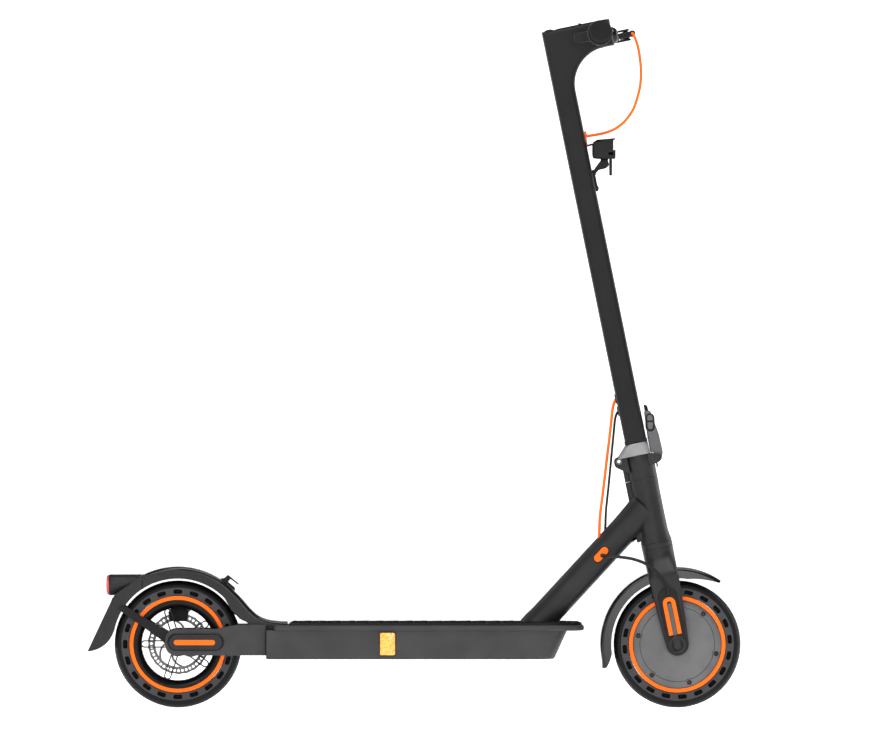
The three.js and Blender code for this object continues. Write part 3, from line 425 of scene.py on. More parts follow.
def addPiece(name, shapes, finish, body, *nodes, place=None, bevel=0.0, soft=38):
    # merges the shapes, turns every face outwards, keeps edges sharper than soft degrees, rides on the body
    shapes = shapes if isinstance(shapes, list) else [shapes]
    points = np.concatenate([s[0] for s in shapes])
    starts = np.cumsum([0] + [len(s[0]) for s in shapes[:-1]])
    faces = [[k + int(start) for k in face] for s, start in zip(shapes, starts) for face in s[1]]
    points = points if place is None else place(points)
    mesh = bpy.data.meshes.new(name)
    mesh.from_pydata((points * mm).tolist(), [], faces)
    made = bmesh.new()
    made.from_mesh(mesh)
    bmesh.ops.remove_doubles(made, verts=made.verts, dist=1e-6)
    bmesh.ops.recalc_face_normals(made, faces=made.faces)
    made.to_mesh(mesh)
    made.free()
    mesh.shade_smooth()
    mesh.set_sharp_from_angle(angle=math.radians(soft))
    piece = bpy.data.objects.new(name, mesh)
    bpy.context.scene.collection.objects.link(piece)
    mesh.materials.append(finishes[finish])
    if bevel:
        edges = piece.modifiers.new("roundedEdges", "BEVEL")
        edges.width, edges.segments, edges.limit_method = bevel * mm, 2, "ANGLE"
        edges.angle_limit, edges.harden_normals = math.radians(38), True
    if body:
        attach(piece, body)
    if nodes:
        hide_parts(*nodes)
    return piece


# camera, floor and light
studio = {"scale": 1.655, "distance": 20000, "look": (37, 0, 560), "width": 873, "floorShade": "#f4f4f4",
          "flatTo": 29600, "curve": 4400, "wallTop": 8200}
camera = bpy.data.objects.new("camera", bpy.data.cameras.new("camera"))
bpy.context.scene.collection.objects.link(camera)
camera.location = np.array(studio["look"]) * mm - np.array([0, studio["distance"] * mm, 0])
camera.rotation_euler = (math.radians(90), 0, 0)
camera.data.sensor_width = 36
camera.data.lens = 36 * studio["distance"] / (studio["width"] * studio["scale"])
camera.data.clip_end = 200
bpy.context.scene.camera = camera

# a wide round floor that curves up into a low wall all round, so every side view ends in the same pale shade
sweepAngle = np.linspace(0, turn / 4, 12)
floorReach = np.concatenate([[20, 2500, 9000, 20000, 28000],
                             studio["flatTo"] + studio["curve"] * np.sin(sweepAngle),
                             [studio["flatTo"] + studio["curve"]]])
floorHeight = np.concatenate([np.zeros(5), studio["curve"] * (1 - np.cos(sweepAngle)), [studio["wallTop"]]])
roundTurn = np.linspace(0, turn, 64, endpoint=False)[:, None]
floorTop = np.stack([floorReach * np.cos(roundTurn), floorReach * np.sin(roundTurn),
                     np.broadcast_to(floorHeight, (64, len(floorReach)))], -1)
floorMaterial, _, floorSurface = newMaterial("paleFloor")
floorSurface.inputs["Base Color"].default_value = linear(studio["floorShade"])
floorSurface.inputs["Roughness"].default_value = 0.6
floorSurface.inputs["Emission Color"].default_value = (1, 1, 1, 1)
floorSurface.inputs["Emission Strength"].default_value = 0.93
floor = bpy.data.meshes.new("paleFloor")
floor.from_pydata((floorTop.reshape(-1, 3) * mm).tolist(), [], gridFaces(*floorTop.shape[:2], True)
                  + [list(range(0, floorTop.shape[0] * floorTop.shape[1], floorTop.shape[1]))])
floor.shade_smooth()
floor.materials.append(floorMaterial)
floorObject = bpy.data.objects.new("paleFloor", floor)
bpy.context.scene.collection.objects.link(floorObject)

lamps = {  # where from, width and height in metres, power in watts
    "keySoftbox": ((-1.6, -5.2, 3.4), 2.2, 1.6, 95),
    "frontStrip": ((0.6, -6.5, 1.0), 1.2, 2.4, 40),
    "topSoftbox": ((0.5, -1.1, 4.2), 3.4, 1.8, 160),
    "backLeft": ((-3.4, 2.0, 1.8), 1.4, 2.4, 50),
    "backRight": ((3.6, 1.6, 1.8), 1.4, 2.6, 60),
}
for lampName, (position, width, height, power) in lamps.items():
    lamp = bpy.data.lights.new(lampName, "AREA")
    lamp.shape, lamp.size, lamp.size_y, lamp.energy = "RECTANGLE", width, height, power
    lampObject = bpy.data.objects.new(lampName, lamp)
    bpy.context.scene.collection.objects.link(lampObject)
    lampObject.location = position
    lampObject.rotation_euler = (Vector((0, 0, 0.5)) - Vector(position)).to_track_quat("-Z", "Y").to_euler()
world = bpy.data.worlds.new("studioLight")
world.use_nodes = True
world.node_tree.nodes["Background"].inputs["Color"].default_value = (0.92, 0.95, 1, 1)
world.node_tree.nodes["Background"].inputs["Strength"].default_value = 0.12
bpy.context.scene.world = world
bpy.context.scene.view_settings.view_transform = "Standard"
print("studio ready")

# wheels
tyreSizes = {"wall": 24.4, "bandTop": 94, "slotAt": 87, "slotDepth": 13, "slotHalfLength": 6.8,
             "slotHalfHeight": 3.3, "slotRound": 2.7, "slots": 20, "sipes": 60, "sipeDepth": 1.0,
             "grooveAt": 7.4, "grooveDepth": 1.1}


def tyreShape(sizes, offset):
    # the profile goes round the axle; slots sink into both walls and sipes into the tread, by distance fields
    slotAngles = np.array([-9, -7.6, -6.2, -5.2, -4.8, -4.55, -4.3, -4.0, -3.6, -3.0, -2.1, -1.0])
    steps = np.radians(np.concatenate([slotAngles, [0], -slotAngles[:0:-1]]))
    slotTurn = turn / sizes["slots"]
    angle = (np.arange(sizes["slots"])[:, None] * slotTurn + steps).ravel() + math.radians(offset)
    wall = np.array([[80.3, -21], [80.6, -24], [81.2, -24.4], [82.4, -24.4], [83.3, -24.4], [83.7, -24.4],
                     [84.1, -24.4], [84.8, -24.4], [85.8, -24.4], [87, -24.4], [88.2, -24.4], [89.2, -24.4],
                     [89.9, -24.4], [90.3, -24.4], [90.7, -24.4], [91.6, -24.4], [93, -24.4], [93.6, -24.5],
                     [94, -25], [95.4, -25], [97.5, -24.4], [99.6, -22.9], [101.4, -20.6], [102.8, -17.6],
                     [103.7, -14.4], [104.3, -11.4], [104.7, -8.2], [104.85, -7.4], [104.9, -6.6],
                     [104.95, -4],
                     [105, -1.6], [105, -0.8]])
    profile = np.concatenate([wall, [[105, 0]], wall[::-1] * [1, -1]])
    r, y = profile[:, 0], profile[:, 1]
    a = angle[:, None]

    around = np.mod(a - math.radians(offset) + slotTurn / 2, slotTurn) - slotTurn / 2
    u = np.abs(around * sizes["slotAt"]) - sizes["slotHalfLength"] + sizes["slotRound"]
    v = np.abs(r - sizes["slotAt"]) - sizes["slotHalfHeight"] + sizes["slotRound"]
    away = np.hypot(np.maximum(u, 0), np.maximum(v, 0)) - sizes["slotRound"]
    sunk = np.clip(0.5 - away / 0.5, 0, 1) * (np.abs(y) > 24) * (r < 93)
    newY = y * (1 - sunk * sizes["slotDepth"] / sizes["wall"])
    groove = np.clip(1.6 - np.abs(np.abs(y) - sizes["grooveAt"]), 0, 1) * (np.abs(y) < 9)
    slant = np.abs(np.mod(a * sizes["sipes"] / turn + np.abs(y) / 30, 1) - 0.5)
    sipe = np.clip((0.09 - slant) / 0.04, 0, 1) * (np.abs(y) > 9) * (np.abs(y) < 21) * (r > 98)
    newR = r - sizes["grooveDepth"] * groove - sizes["sipeDepth"] * sipe
    points = np.stack([newR * np.cos(a), newY, newR * np.sin(a)], -1)
    return points.reshape(-1, 3), gridFaces(len(angle), len(profile), True, True)


for where, place, offset, body in (("rear", fromRear, 0, "rear_wheel"),
                                   ("front", fromFront, 12, "front_wheel")):
    tyre = addPiece(f"{where}Tyre", tyreShape(tyreSizes, offset), "tyreRubber", body, f"{where}_tyre",
                    place=place, soft=50)
    spots = np.array([v.co for v in tyre.data.vertices]) / mm - (rearAxle if where == "rear" else frontAxle)
    reach = np.hypot(spots[:, 0], spots[:, 2])
    onBand = (reach < tyreSizes["bandTop"] - 0.5) & (np.abs(spots[:, 1]) > 24)
    sideBand = tyre.data.attributes.new("sideBand", "FLOAT", "POINT")
    sideBand.data.foreach_set("value", onBand.astype(np.float32))
    trim = [turned([[73.4, side * 22], [73.4, side * 25.0], [73.9, side * 25.5], [79.3, side * 25.5],
                    [79.8, side * 25.0], [79.8, side * 22]], 160) for side in (-1, 1)]
    addPiece(f"{where}RimTrim", trim, "orange", body, place=place)

hubMotor = {"seam": 61.4, "bolts": (335, 276, 219, 156, 97, 38), "boltAt": 66, "boss": 6.4}


def coverDisc(sizes, side):
    # the raised middle of the motor cover: a circle that steps in round each bolt
    a = np.linspace(0, turn, 720, endpoint=False)
    r = np.full(len(a), float(sizes["seam"]))
    for bolt in np.radians(sizes["bolts"]):
        off = np.mod(a - bolt + turn / 2, turn) - turn / 2
        reach = sizes["boss"] ** 2 - (sizes["boltAt"] * np.sin(off)) ** 2
        inner = sizes["boltAt"] * np.cos(off) - np.sqrt(np.maximum(reach, 0))
        r = np.where((reach > 0) & (np.abs(off) < 0.2), np.minimum(r, inner), r)
    outline = np.stack([r * np.cos(a), r * np.sin(a)], -1)
    return plate([outline, ring(8.5, 48)], side * 23.5, side * 26.0)


def boltHead(radius, height, socket, base, side, steps=24):
    # a cap bolt along Y with a six-sided socket sunk in its head
    return plate([ring(radius, steps), ring(socket, 6)[::-1]], base, base + side * height)


for side, node, label in ((-1, "motor_cover", "Right"), (1, "motor_shell", "Left")):
    dish = turned([[8.5, side * 20], [8.5, side * 25.3], [62, side * 25.3], [71.4, side * 25.0],
                   [72.6, side * 24.2],
                   [72.9, side * 23.2], [72.9, side * 20]], 160)
    shapes = [dish]
    if node == "motor_shell":
        shapes.append(turned([[70, -20.4], [79.9, -20.6], [79.9, 20.6], [70, 20.4]], 128))
    addPiece(f"motorDish{label}", shapes, "motorGrey", "front_wheel", node, place=fromFront)
    addPiece(f"motorDisc{label}", coverDisc(hubMotor, side), "motorGrey", "front_wheel", place=fromFront,
             bevel=0.35, soft=50)
    seam = coverDisc({**hubMotor, "seam": hubMotor["seam"] + 0.8, "boss": hubMotor["boss"] - 0.8}, side)
    seam = (seam[0] * [1, (25.7 / 26.0), 1], seam[1])
    addPiece(f"motorSeam{label}", seam, "rimBlack", "front_wheel", place=fromFront)
    heads = []
    for bolt in np.radians(hubMotor["bolts"]):
        spot = [hubMotor["boltAt"] * math.cos(bolt), 0, hubMotor["boltAt"] * math.sin(bolt)]
        washer = plate([ring(4.1, 28), ring(3.1, 28)[::-1]], side * 24.6, side * 25.9)
        heads += [moved(boltHead(2.7, 2.2, 1.2, side * 24.6, side), spot), moved(washer, spot)]
    addPiece(f"motorBolts{label}", heads, "rimBlack", "front_wheel", place=fromFront, bevel=0.3)

spokes = {"count": 5, "start": 36, "reach": 61.5, "half": 6.2, "root": 12}
rimProfile = [[60, -12], [60.6, -15.5], [63, -19.5], [66.5, -22.4], [72.4, -23.6], [73.6, -23.2], [75, -21],
              [80, -20.8],
              [80, 20.8], [75, 21], [73.6, 23.2], [72.4, 23.6], [66.5, 22.4], [63, 19.5], [60.6, 15.5],
              [60, 12]]
rimShapes = [turned(rimProfile, 160),
             turned([[12.3, -28], [18.5, -28], [20, -26.5], [20, 29.4], [19, 30.6], [12.3, 30.6]], 64)]
for k in range(spokes["count"]):
    bar = plate([pill(spokes["root"], spokes["reach"], 0, spokes["half"], 18),
                 pill(spokes["root"] + 2, spokes["reach"] - 2, 0, spokes["half"] - 2, 18)[::-1]], -4, 4)
    a = math.radians(spokes["start"] + 72 * k)
    x, z = bar[0][:, 0].copy(), bar[0][:, 2].copy()
    bar[0][:, 0], bar[0][:, 2] = x * math.cos(a) - z * math.sin(a), x * math.sin(a) + z * math.cos(a)
    rimShapes.append(bar)
addPiece("rearRim", rimShapes, "rimBlack", "rear_wheel", "rear_rim", place=fromRear, bevel=0.3)

rotor = {"outer": 51, "inner": 38.5, "holes": 44, "hole": 2.3, "holeAt": 45, "arms": 6, "low": 31.0,
         "high": 33.0}


def rotorShapes(sizes):
    rim = ring(sizes["outer"], 264)
    rim *= (1 - 0.008 * (1 + np.cos(np.linspace(0, turn * 22, 264, endpoint=False))))[:, None]
    holes = [ring(sizes["hole"], 10, (sizes["holeAt"] * math.cos(a), sizes["holeAt"] * math.sin(a)))[::-1]
             for a in np.linspace(0, turn, sizes["holes"], endpoint=False)]
    shapes = [plate([rim, ring(sizes["inner"], 128)[::-1], *holes], sizes["low"], sizes["high"]),
              plate([ring(21, 64), ring(15, 48)[::-1]], sizes["low"], sizes["high"])]
    t = np.linspace(0, 1, 14)
    for k in range(sizes["arms"]):
        r, a = 19 + 21 * t, k * turn / sizes["arms"] + 0.75 * t ** 1.4
        middle = np.stack([r * np.cos(a), r * np.sin(a)], -1)
        normal = np.stack([-np.gradient(middle[:, 1]), np.gradient(middle[:, 0])], -1)
        normal *= 1.8 / np.linalg.norm(normal, axis=1, keepdims=True)
        shapes.append(plate([np.concatenate([middle + normal, (middle - normal)[::-1]])], sizes["low"] + 0.2,
                            sizes["high"] - 0.2))
    return shapes


addPiece("brakeDisc", rotorShapes(rotor), "steel", "rear_wheel", "brake_rotor", place=fromRear)
print("wheels made")

# cords
def cable(name, route, radius, finish, body, node=None, place=None, count=90, clip=None):
    # a round section carried along a smooth curve; clip keeps only part of the route, from 0 to 1
    path = smoothPath(route, count)
    if clip:
        path = path[int(clip[0] * (count - 1)):int(clip[1] * (count - 1)) + 1]
    return addPiece(name, swept(ring(radius, 16), path), finish, body, *([node] if node else []), place=place)


def fromFrontAxle(points):
    return points + frontAxle


cableRoutes = {
    "front": [[130, 49.5, 1006], [130.5, 45.3, 1005.5], [132.5, 39.5, 999], [134.4, 34, 983],
              [133.9, 29.5, 964],
              [131.3, 25, 942], [125.5, 19, 919.5], [116.3, 14, 899.2], [106.3, 10, 882.5], [94.9, 7, 870.6],
              [83.1, 4.5, 862], [68.6, 2.5, 855.6], [53, 1, 852.8], [36.6, 0, 852.6], [25, 0, 853.2],
              [19.5, 0, 853.6]],
    "rearBrake": [[-99.6, -6, 407.4], [-103.4, -6, 401], [-106.5, -6, 390], [-109, -6, 368], [-112, -6, 340],
                  [-115.8, -6, 310],
                  [-119.4, -6, 278], [-123.4, -6, 245], [-127.5, -6, 212], [-128.8, -6, 183.4],
                  [-129.4, -6, 174]],
    "signal": [[-95.6, 6, 386.6], [-99.6, 6, 381], [-102.5, 6, 371], [-104.6, 6, 350], [-107.6, 6, 320],
               [-110.6, 6, 288], [-113.9, 6, 254],
               [-117.3, 6, 222], [-118.4, 6, 196.4], [-119, 6, 187]],
    "motor": [[-124, -24.6, 146.5], [-122, -32, 146.5], [-114, -38, 146.2], [-95, -42, 144.5],
              [-73, -45.5, 141],
              [-52, -48.5, 133], [-34, -50.5, 119], [-21, -51.5, 101], [-16.4, -52.6, 91],
              [-15.9, -50.8, 84.5],
              [-16, -47.6, 80]],
    "caliper": [[144.4, 62, 13], [136, 61, 16], [118, 57, 33], [95, 53, 49], [70, 49, 61], [48, 45.5, 66],
                [34, 42.9, 67.5]],
}
cable("frontBrakeCable", cableRoutes["front"], 2.3, "orangeJacket", "stem", "front_brake_cable", fromFront)
split = {"rearBrake": 0.47, "signal": 0.42}  # where along its route each cord passes the fold hinge
for key, radius, finish, node in (("rearBrake", 2.4, "orangeJacket", "rear_brake_cable"),
                                  ("signal", 2.0, "blackJacket", "signal_cable")):
    upper = cable(key + "CableUpper", cableRoutes[key], radius, finish, None, None, fromFrontAxle,
                  clip=(0, split[key]))
    lower = cable(key + "CableLower", cableRoutes[key], radius, finish, None, None, fromFrontAxle,
                  clip=(split[key], 1))
    top, foot = cableRoutes[key][0] + frontAxle, cableRoutes[key][-1] + frontAxle
    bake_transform(upper)
    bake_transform(lower)
    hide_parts(node)
for key, radius, place, movingBody, bendsFrom, bendsTo in (("motor", 2.6, fromFrontAxle, "steering", 2, 6),
                                                           ("caliper", 2.3, fromRear, "caliper_lever", 4, 6)):
    cord = cable(key + "Cable", cableRoutes[key], radius, "blackJacket", None, None, place)
    route = place(np.array(cableRoutes[key]))
    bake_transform(cord)
    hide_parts(key + "_cable")
print("cords made")

# deck
deck = {"rear": -244.2, "front": 252.8, "bottom": 81, "lipBottom": 128, "top": 137, "half": 72,
        "lipRear": -232.2, "lipFront": 281, "lipHalf": 76, "corner": 52, "matRear": -207.2, "matThick": 5.7,
        "scale": 24, "ridge": 1.7, "matHalf": 71.0, "boltAt": 56}


def deckPlan(x0, x1, half, frontCorner, rearCorner, steps=16):
    return rounded([[x0, -half, rearCorner], [x1, -half, frontCorner], [x1, half, frontCorner],
                    [x0, half, rearCorner]], steps)


def deckRows(rows, rearCorner):
    # each row is the plan at one height: z, how far it stands in, how far its front stands back
    plans = [np.insert(deckPlan(deck["rear"] + inset, deck["front"] - inset - back, deck["half"] - inset,
                                deck["corner"] - min(inset, 8), rearCorner), 2, z, axis=1) for z, inset,
             back in rows]
    return closedRows(np.stack(plans))


bodyRows = [(84.2, 6, 21), (deck["bottom"], 6, 21), (deck["bottom"], 2.2, 21), (81.5, 0.9, 20.9),
            (82.7, 0.1, 20.4), (84, 0, 19.8), (100, 0, 12.5), (114, 0, 6.2), (127, 0, 0.2), (128.6, 0, 0)]
addPiece("deckBody", deckRows(bodyRows, 4), "deckGrey", "frame", "deck_frame")
lipPlan = deckPlan(deck["lipRear"], deck["lipFront"], deck["lipHalf"], 56, 12, 22)
addPiece("deckLip", softPlate(lipPlan, deck["lipBottom"], deck["top"], 3.6, "z", 6), "deckGrey", "frame")
coverPlan = deckPlan(deck["rear"] + 6.4, deck["front"] - 27.4, deck["half"] - 6.4, 45, 4)
coverBolts = [plate([ring(2.6, 20, (x, y)), ring(1.3, 6, (x, y))[::-1]], 80.55, 82, "z")
              for x in np.linspace(deck["rear"] + 22, deck["front"] - 70, 6)
              for y in (-deck["boltAt"], deck["boltAt"])]
addPiece("deckUnderCover", [softPlate(coverPlan, 81.1, 84, 0.8, "z")], "frameGrey", "frame",
         "deck_bottom_cover")
addPiece("deckUnderBolts", [moved(bolt, [0, 0, 0.5]) for bolt in coverBolts], "darkSteel", "frame")


def matShape():
    # overlapping scale ridges: each scale is a circle arc, rows half a scale apart; edges roll down
    corner, half, end = deck["corner"], deck["matHalf"], deck["lipFront"] - 3
    x, v = np.linspace(deck["matRear"], end, 400), np.linspace(-1, 1, 122)
    over = np.clip((x - (end - corner)) / corner, 0, 1)
    backOver = np.clip((deck["matRear"] + 6 - x) / 6, 0, 1)
    width = half - corner * (1 - np.sqrt(1 - over ** 2)) - 6 * (1 - np.sqrt(1 - backOver ** 2))
    yy = width[:, None] * v
    xx = np.broadcast_to(x[:, None], yy.shape)
    pitch = deck["scale"]
    row = np.floor(xx / (pitch / 2))
    height = np.zeros_like(xx)
    for step in (0, 1, 2):
        centreX = (row - step) * pitch / 2
        shift = 0.5 * np.mod(row - step, 2)
        centreY = (np.floor(yy / pitch - shift) + 0.5 + shift) * pitch
        r = np.hypot(xx - centreX, yy - centreY)
        arc = np.clip(1.35 - np.abs(r - pitch * 0.5), 0, 1) * (xx > centreX)
        inner = np.clip(1.2 - np.abs(r - pitch * 0.3), 0, 1) * (xx > centreX) * 0.7
        height = np.maximum(height, np.maximum(arc, inner))
    fromEdge = np.minimum(np.minimum(width[:, None] * (1 - np.abs(v[None])), end - xx), xx - deck["matRear"])
    roll = np.clip(fromEdge / 2.2, 0, 1)
    base = deck["top"] + 0.3
    z = base + (deck["matThick"] - 0.3 - deck["ridge"]) * np.sqrt(1 - (1 - roll) ** 2)
    z = z + deck["ridge"] * height * np.clip((fromEdge - 4) / 3, 0, 1)
    top = np.stack([xx, yy, z], -1)
    under = np.stack([xx, yy, np.full_like(z, base - 0.2)], -1)
    return slab(top, under)


addPiece("deckMat", matShape(), "matRubber", "frame", "deck_mat")
reflectorOutline = rounded([[-56.2, 88, 3], [-31.2, 88, 3], [-31.2, 125, 3], [-56.2, 125, 3]])
for side, label in ((-1, "Right"), (1, "Left")):
    lens = softPlate(reflectorOutline, 72.3, 75.9, 1.2)
    addPiece("sideReflector" + label, onSide(lens, side), "amber", "frame",
             "side_reflector_" + label.lower())
    bed = softPlate(rounded([[-57.4, 86.8, 4], [-30, 86.8, 4], [-30, 126.2, 4], [-57.4, 126.2, 4]]), 71.5,
                    73.2, 0.5)
    addPiece("reflectorBed" + label, onSide(bed, side), "mouldedBlack", "frame")

# frame tubes
tube = {"radius": 23.6, "foot": (203.4, 137.9), "joint": (387.0, 337.2), "grommet": (309.2, 253.5),
        "grommetEye": (311.2, 251.6)}


def downTubeShape():
    # a round tube that swells a little where it meets the head tube and at its foot
    foot, joint = np.array(tube["foot"]), np.array(tube["joint"])
    t = np.linspace(-0.05, 0.97, 60)
    path = foot + (joint - foot) * t[:, None]
    path3 = np.stack([path[:, 0], np.zeros(len(t)), path[:, 1]], -1)
    swell = 1 + 0.16 * np.clip((t - 0.72) / 0.28, 0, 1) ** 2 + 0.05 * np.clip((0.08 - t) / 0.08, 0, 1) ** 2
    return swept(ring(tube["radius"], 72), path3, scale=swell)


addPiece("downTube", downTubeShape(), "frameGrey", "frame", "down_tube")
headProfile = [[25.6, 161.5], [25.9, 162.2], [25.9, 170.0], [25.2, 170.6], [25.2, 171.2], [25.9, 171.8],
               [25.5, 175], [24.2, 182], [23.3, 190], [23.1, 200], [23.1, 262], [23.4, 270], [23.6, 277.9],
               [23.3, 278.3], [22.6, 278.3], [22.6, 279.3], [20, 279.3], [20, 162.5], [25.1, 162.5],
               [25.1, 161.5]]
headShapes = [turnedUp(headProfile)]
guide = softPlate(rounded([[-31.2, 176, 3], [-20, 180], [-20, 278.4], [-30.8, 278.3]]), -3.4, 3.4, 1.2)
addPiece("headTube", headShapes + [guide], "frameGrey", "frame", "head_tube", place=fromFront)


crotch = np.array([374.5, 286.8])  # where the down tube's lower edge meets the head tube's back
t = np.linspace(0, 1, 14)[:, None]
webCurve = (1 - t) ** 2 * (crotch + [-13.5, -14.7]) + 2 * t * (1 - t) * crotch + t ** 2 * (crotch + [4.0,
        -19.6])
web = softPlate(np.concatenate([webCurve, [crotch + [10, -14], crotch + [8, 12], crotch + [-8, 0]]]), -11,
                11, 4)
addPiece("crotchWeb", web, "frameGrey", "frame")

grommet = softPlate(pill(-14.4, 14.4, 0, 6.3, 16), -1.5, 2.4, 1.2, "y", 4)
grommetRim = softPlate(pill(-16, 16, 0, 7.9, 16), -0.8, 2.4, 0.6)
grommetEye = plate([ring(3.6, 24), ring(2.7, 24)[::-1]], -2.1, -0.9)
tubeAngle = math.atan2(tube["joint"][1] - tube["foot"][1], tube["joint"][0] - tube["foot"][0])


def alongDownTube(points, centre):
    # a strip bent round the tube's right side: its depth is the root of radius squared less height squared
    x, y, z = np.moveaxis(points, -1, 0)
    c, w = math.cos(tubeAngle), math.sin(tubeAngle)
    above = (centre[1] - tube["foot"][1]) * c - (centre[0] - tube["foot"][0]) * w
    depth = np.sqrt(tube["radius"] ** 2 - (z + above) ** 2)
    return np.stack([centre[0] + x * c - z * w, y - depth, centre[1] + x * w + z * c], -1)


addPiece("cableGrommet", grommet, "orange", "frame", place=lambda p: alongDownTube(p, tube["grommet"]))
addPiece("grommetRim", grommetRim, "mouldedBlack", "frame", place=lambda p: alongDownTube(p, tube["grommet"]))
addPiece("grommetEye", grommetEye, "mouldedBlack", "frame", place=lambda p: alongDownTube(p,
        tube["grommetEye"]))
print("deck and frame made")

# fork
fork = {"tip": 18.6, "shoulder": 24.4, "legAt": 40.0, "legHalf": 6, "crownLow": 112, "crownHigh": 161.2}


def forkLeg(side):
    # rounded boxes stacked up the leg: a half circle round the axle, then slowly wider to the shoulder
    low = fork["tip"] * -np.cos(np.linspace(0.08, turn / 4, 14))
    s = np.concatenate([low, np.linspace(6, 114, 22)])
    wider = fork["tip"] + (fork["shoulder"] - fork["tip"]) * np.clip(s / 95, 0, 1) ** 0.8
    half = np.where(s < 0, np.sqrt(np.maximum(fork["tip"] ** 2 - s ** 2, 0.5)), wider)
    section = np.stack([roundedBox(h, fork["legHalf"], min(4.5, h * 0.6)) for h in half])
    origins = np.stack([np.zeros(len(s)), np.full(len(s), side * fork["legAt"]), s], -1)
    return lofted(section, origins, [1, 0, 0], [0, 1, 0])


def forkCrown():
    # from the two legs in to the steerer: half width falls from the legs' outside to the head tube's
    t = np.linspace(0, 1, 30)
    s = fork["crownLow"] + (fork["crownHigh"] - fork["crownLow"]) * t
    q = np.clip(t / 0.8, 0, 1)
    halfY = 46.1 - 20.3 * (3 * q ** 2 - 2 * q ** 3)
    halfX = fork["shoulder"] + 1.2 * t
    section = np.stack([roundedBox(a, b, min(22.5, 5 + 20 * k)) for a, b, k in zip(halfX, halfY, t)])
    origins = np.stack([np.zeros(len(s)), np.zeros(len(s)), s], -1)
    return lofted(section, origins, [1, 0, 0], [0, 1, 0])


crownRing = turnedUp([[20.5, 159], [24.8, 159], [24.8, 162.2], [20.5, 162.2]], 96)
addPiece("fork", [forkLeg(-1), forkLeg(1), forkCrown(), crownRing], "frameGrey", "steering", "fork",
         place=fromFront)
coverOutline = upright(pill(-17.4, 96, 0, 16.2, 18))
for side, label in ((-1, "Right"), (1, "Left")):
    base = softPlate(coverOutline, 45.6, 49.4, 1.6)
    addPiece("forkCover" + label, onSide(base, side), "mouldedBlack", "steering", place=fromFront)
    uShape = np.concatenate([[[-10.6, 17]], ring(10.6, 40, (0, 69.2), 0)[:21][::-1], [[10.6, 17]],
                             [[3.8, 17]],
                             ring(3.8, 40, (0, 69.2), 0)[:21], [[-3.8, 17]]])
    band = softPlate(uShape, 48.8, 51.4, 0.7)
    addPiece("forkArch" + label, onSide(band, side), "orange", "steering", place=fromFront)
    tongue = softPlate(upright(pill(-7.5, 70, 0, 3.4, 14)), 49.0, 50.6, 0.5)
    addPiece("forkTongue" + label, onSide(tongue, side), "midGrey", "steering", place=fromFront)
    cap = [softPlate(upright(pill(-8.5, 16.5, 0, 6.2, 14)), 49.2, 51.8, 1.4),
           turned([[8.4, 48.6], [14.6, 48.6], [14.6, 50.6], [13.8, 51.4], [12.8, 51.2], [9.2, 50.0],
                   [8.4, 49.4]], 56)]
    addPiece("axleCap" + label, [onSide(c, side) for c in cap], "frameGrey", "steering", place=fromFront)
print("fork made")
# folding joint: neck, hinge, collar and latch
neck = {"hinge": (-34.1, 314.8), "collarFoot": 318.75, "collarHeight": 20.2}
neckProfile = [[22.9, 278.6], [23.2, 278.6], [23.6, 279.0], [23.6, 299], [24.2, 302], [24.2, 317.5],
               [23.6, 318.5], [16, 318.5], [16, 279.6], [22.9, 279.6]]
neckShapes = [turnedUp(neckProfile),
              softPlate(rounded([[-30.8, 278.7], [-20, 278.7], [-20, 302], [-30.6, 300, 2]]), -3.4, 3.4, 1.2)]
for low, high in ((8.5, 19), (-19, -8.5)):
    lug = rounded([[-20, 291, 2], [-27, 296], [-41.6, 306.4, 9], [-43.2, 321.5, 9], [-33, 322.5, 5],
                   [-20, 318]], 10)
    neckShapes.append(plate([lug, ring(3.3, 32, neck["hinge"])[::-1]], low, high))
for low, high in ((17.2, 20.8), (-20.8, -17.2)):
    ear = rounded([[14, 298, 2], [31, 301.5, 5], [36.8, 306, 5], [36.2, 314.5, 4], [28, 316.5, 4],
                   [14, 318]], 8)
    neckShapes.append(softPlate(ear, low, high, 0.9))
neckShapes.append(turned([[0, -22], [2.4, -22], [2.4, 22], [0, 22]], 24, (30.5, 309)))
neckShapes.append(softPlate(np.array([[25.6, 293.6], [28.2, 293.6], [28.2, 302], [25.6, 302]]), -2.4, 2.4,
                            0.4))
addPiece("foldNeck", neckShapes, "frameGrey", "steering", "fold_base", place=fromFront, bevel=0.5)
pinShape = turned([[2.6, -20.8], [5.0, -20.8], [5.4, -20.3], [5.4, -19.4], [3.1, -19.3], [3.1, 19.3],
                   [5.4, 19.4],
                   [5.4, 20.3], [5.0, 20.8], [2.6, 20.8]], 48, neck["hinge"])
addPiece("hingePin", pinShape, "darkSteel", "steering", "hinge_pin", place=fromFront)

def collarShape():
    # rounded boxes stacked up the stem; the rear edge slopes in from the hinge to the stem's back
    t = np.array([0, 0.04, 0.1, 0.3, 0.5, 0.7, 0.9, 0.96, 1])
    lip = np.array([0.9, 0.3, 0, 0, 0, 0, 0, 0.3, 0.8])
    rear, front, half = -37.6 + 18.8 * t + lip, 19.6 - 0.6 * t - lip, 23.6 - 0.8 * t - lip
    section = np.stack([roundedBox((f - r) / 2, h, 9) for r, f, h in zip(rear, front, half)])
    origins = np.stack([(rear + front) / 2, np.zeros(9), neck["collarFoot"] + neck["collarHeight"] * t], -1)
    return lofted(section, origins, [1, 0, 0], [0, 1, 0])


hingeTongue = plate([rounded([[-24, 319.4], [-41.5, 319.4, 8], [-42, 306.8, 8], [-26.8, 306.8, 8]], 10),
                ring(3.3, 32, neck["hinge"])[::-1]], -7.9, 7.9)
addPiece("stemCollar", [collarShape(), hingeTongue], "collarGrey", "stem", "stem_collar", place=fromFront)

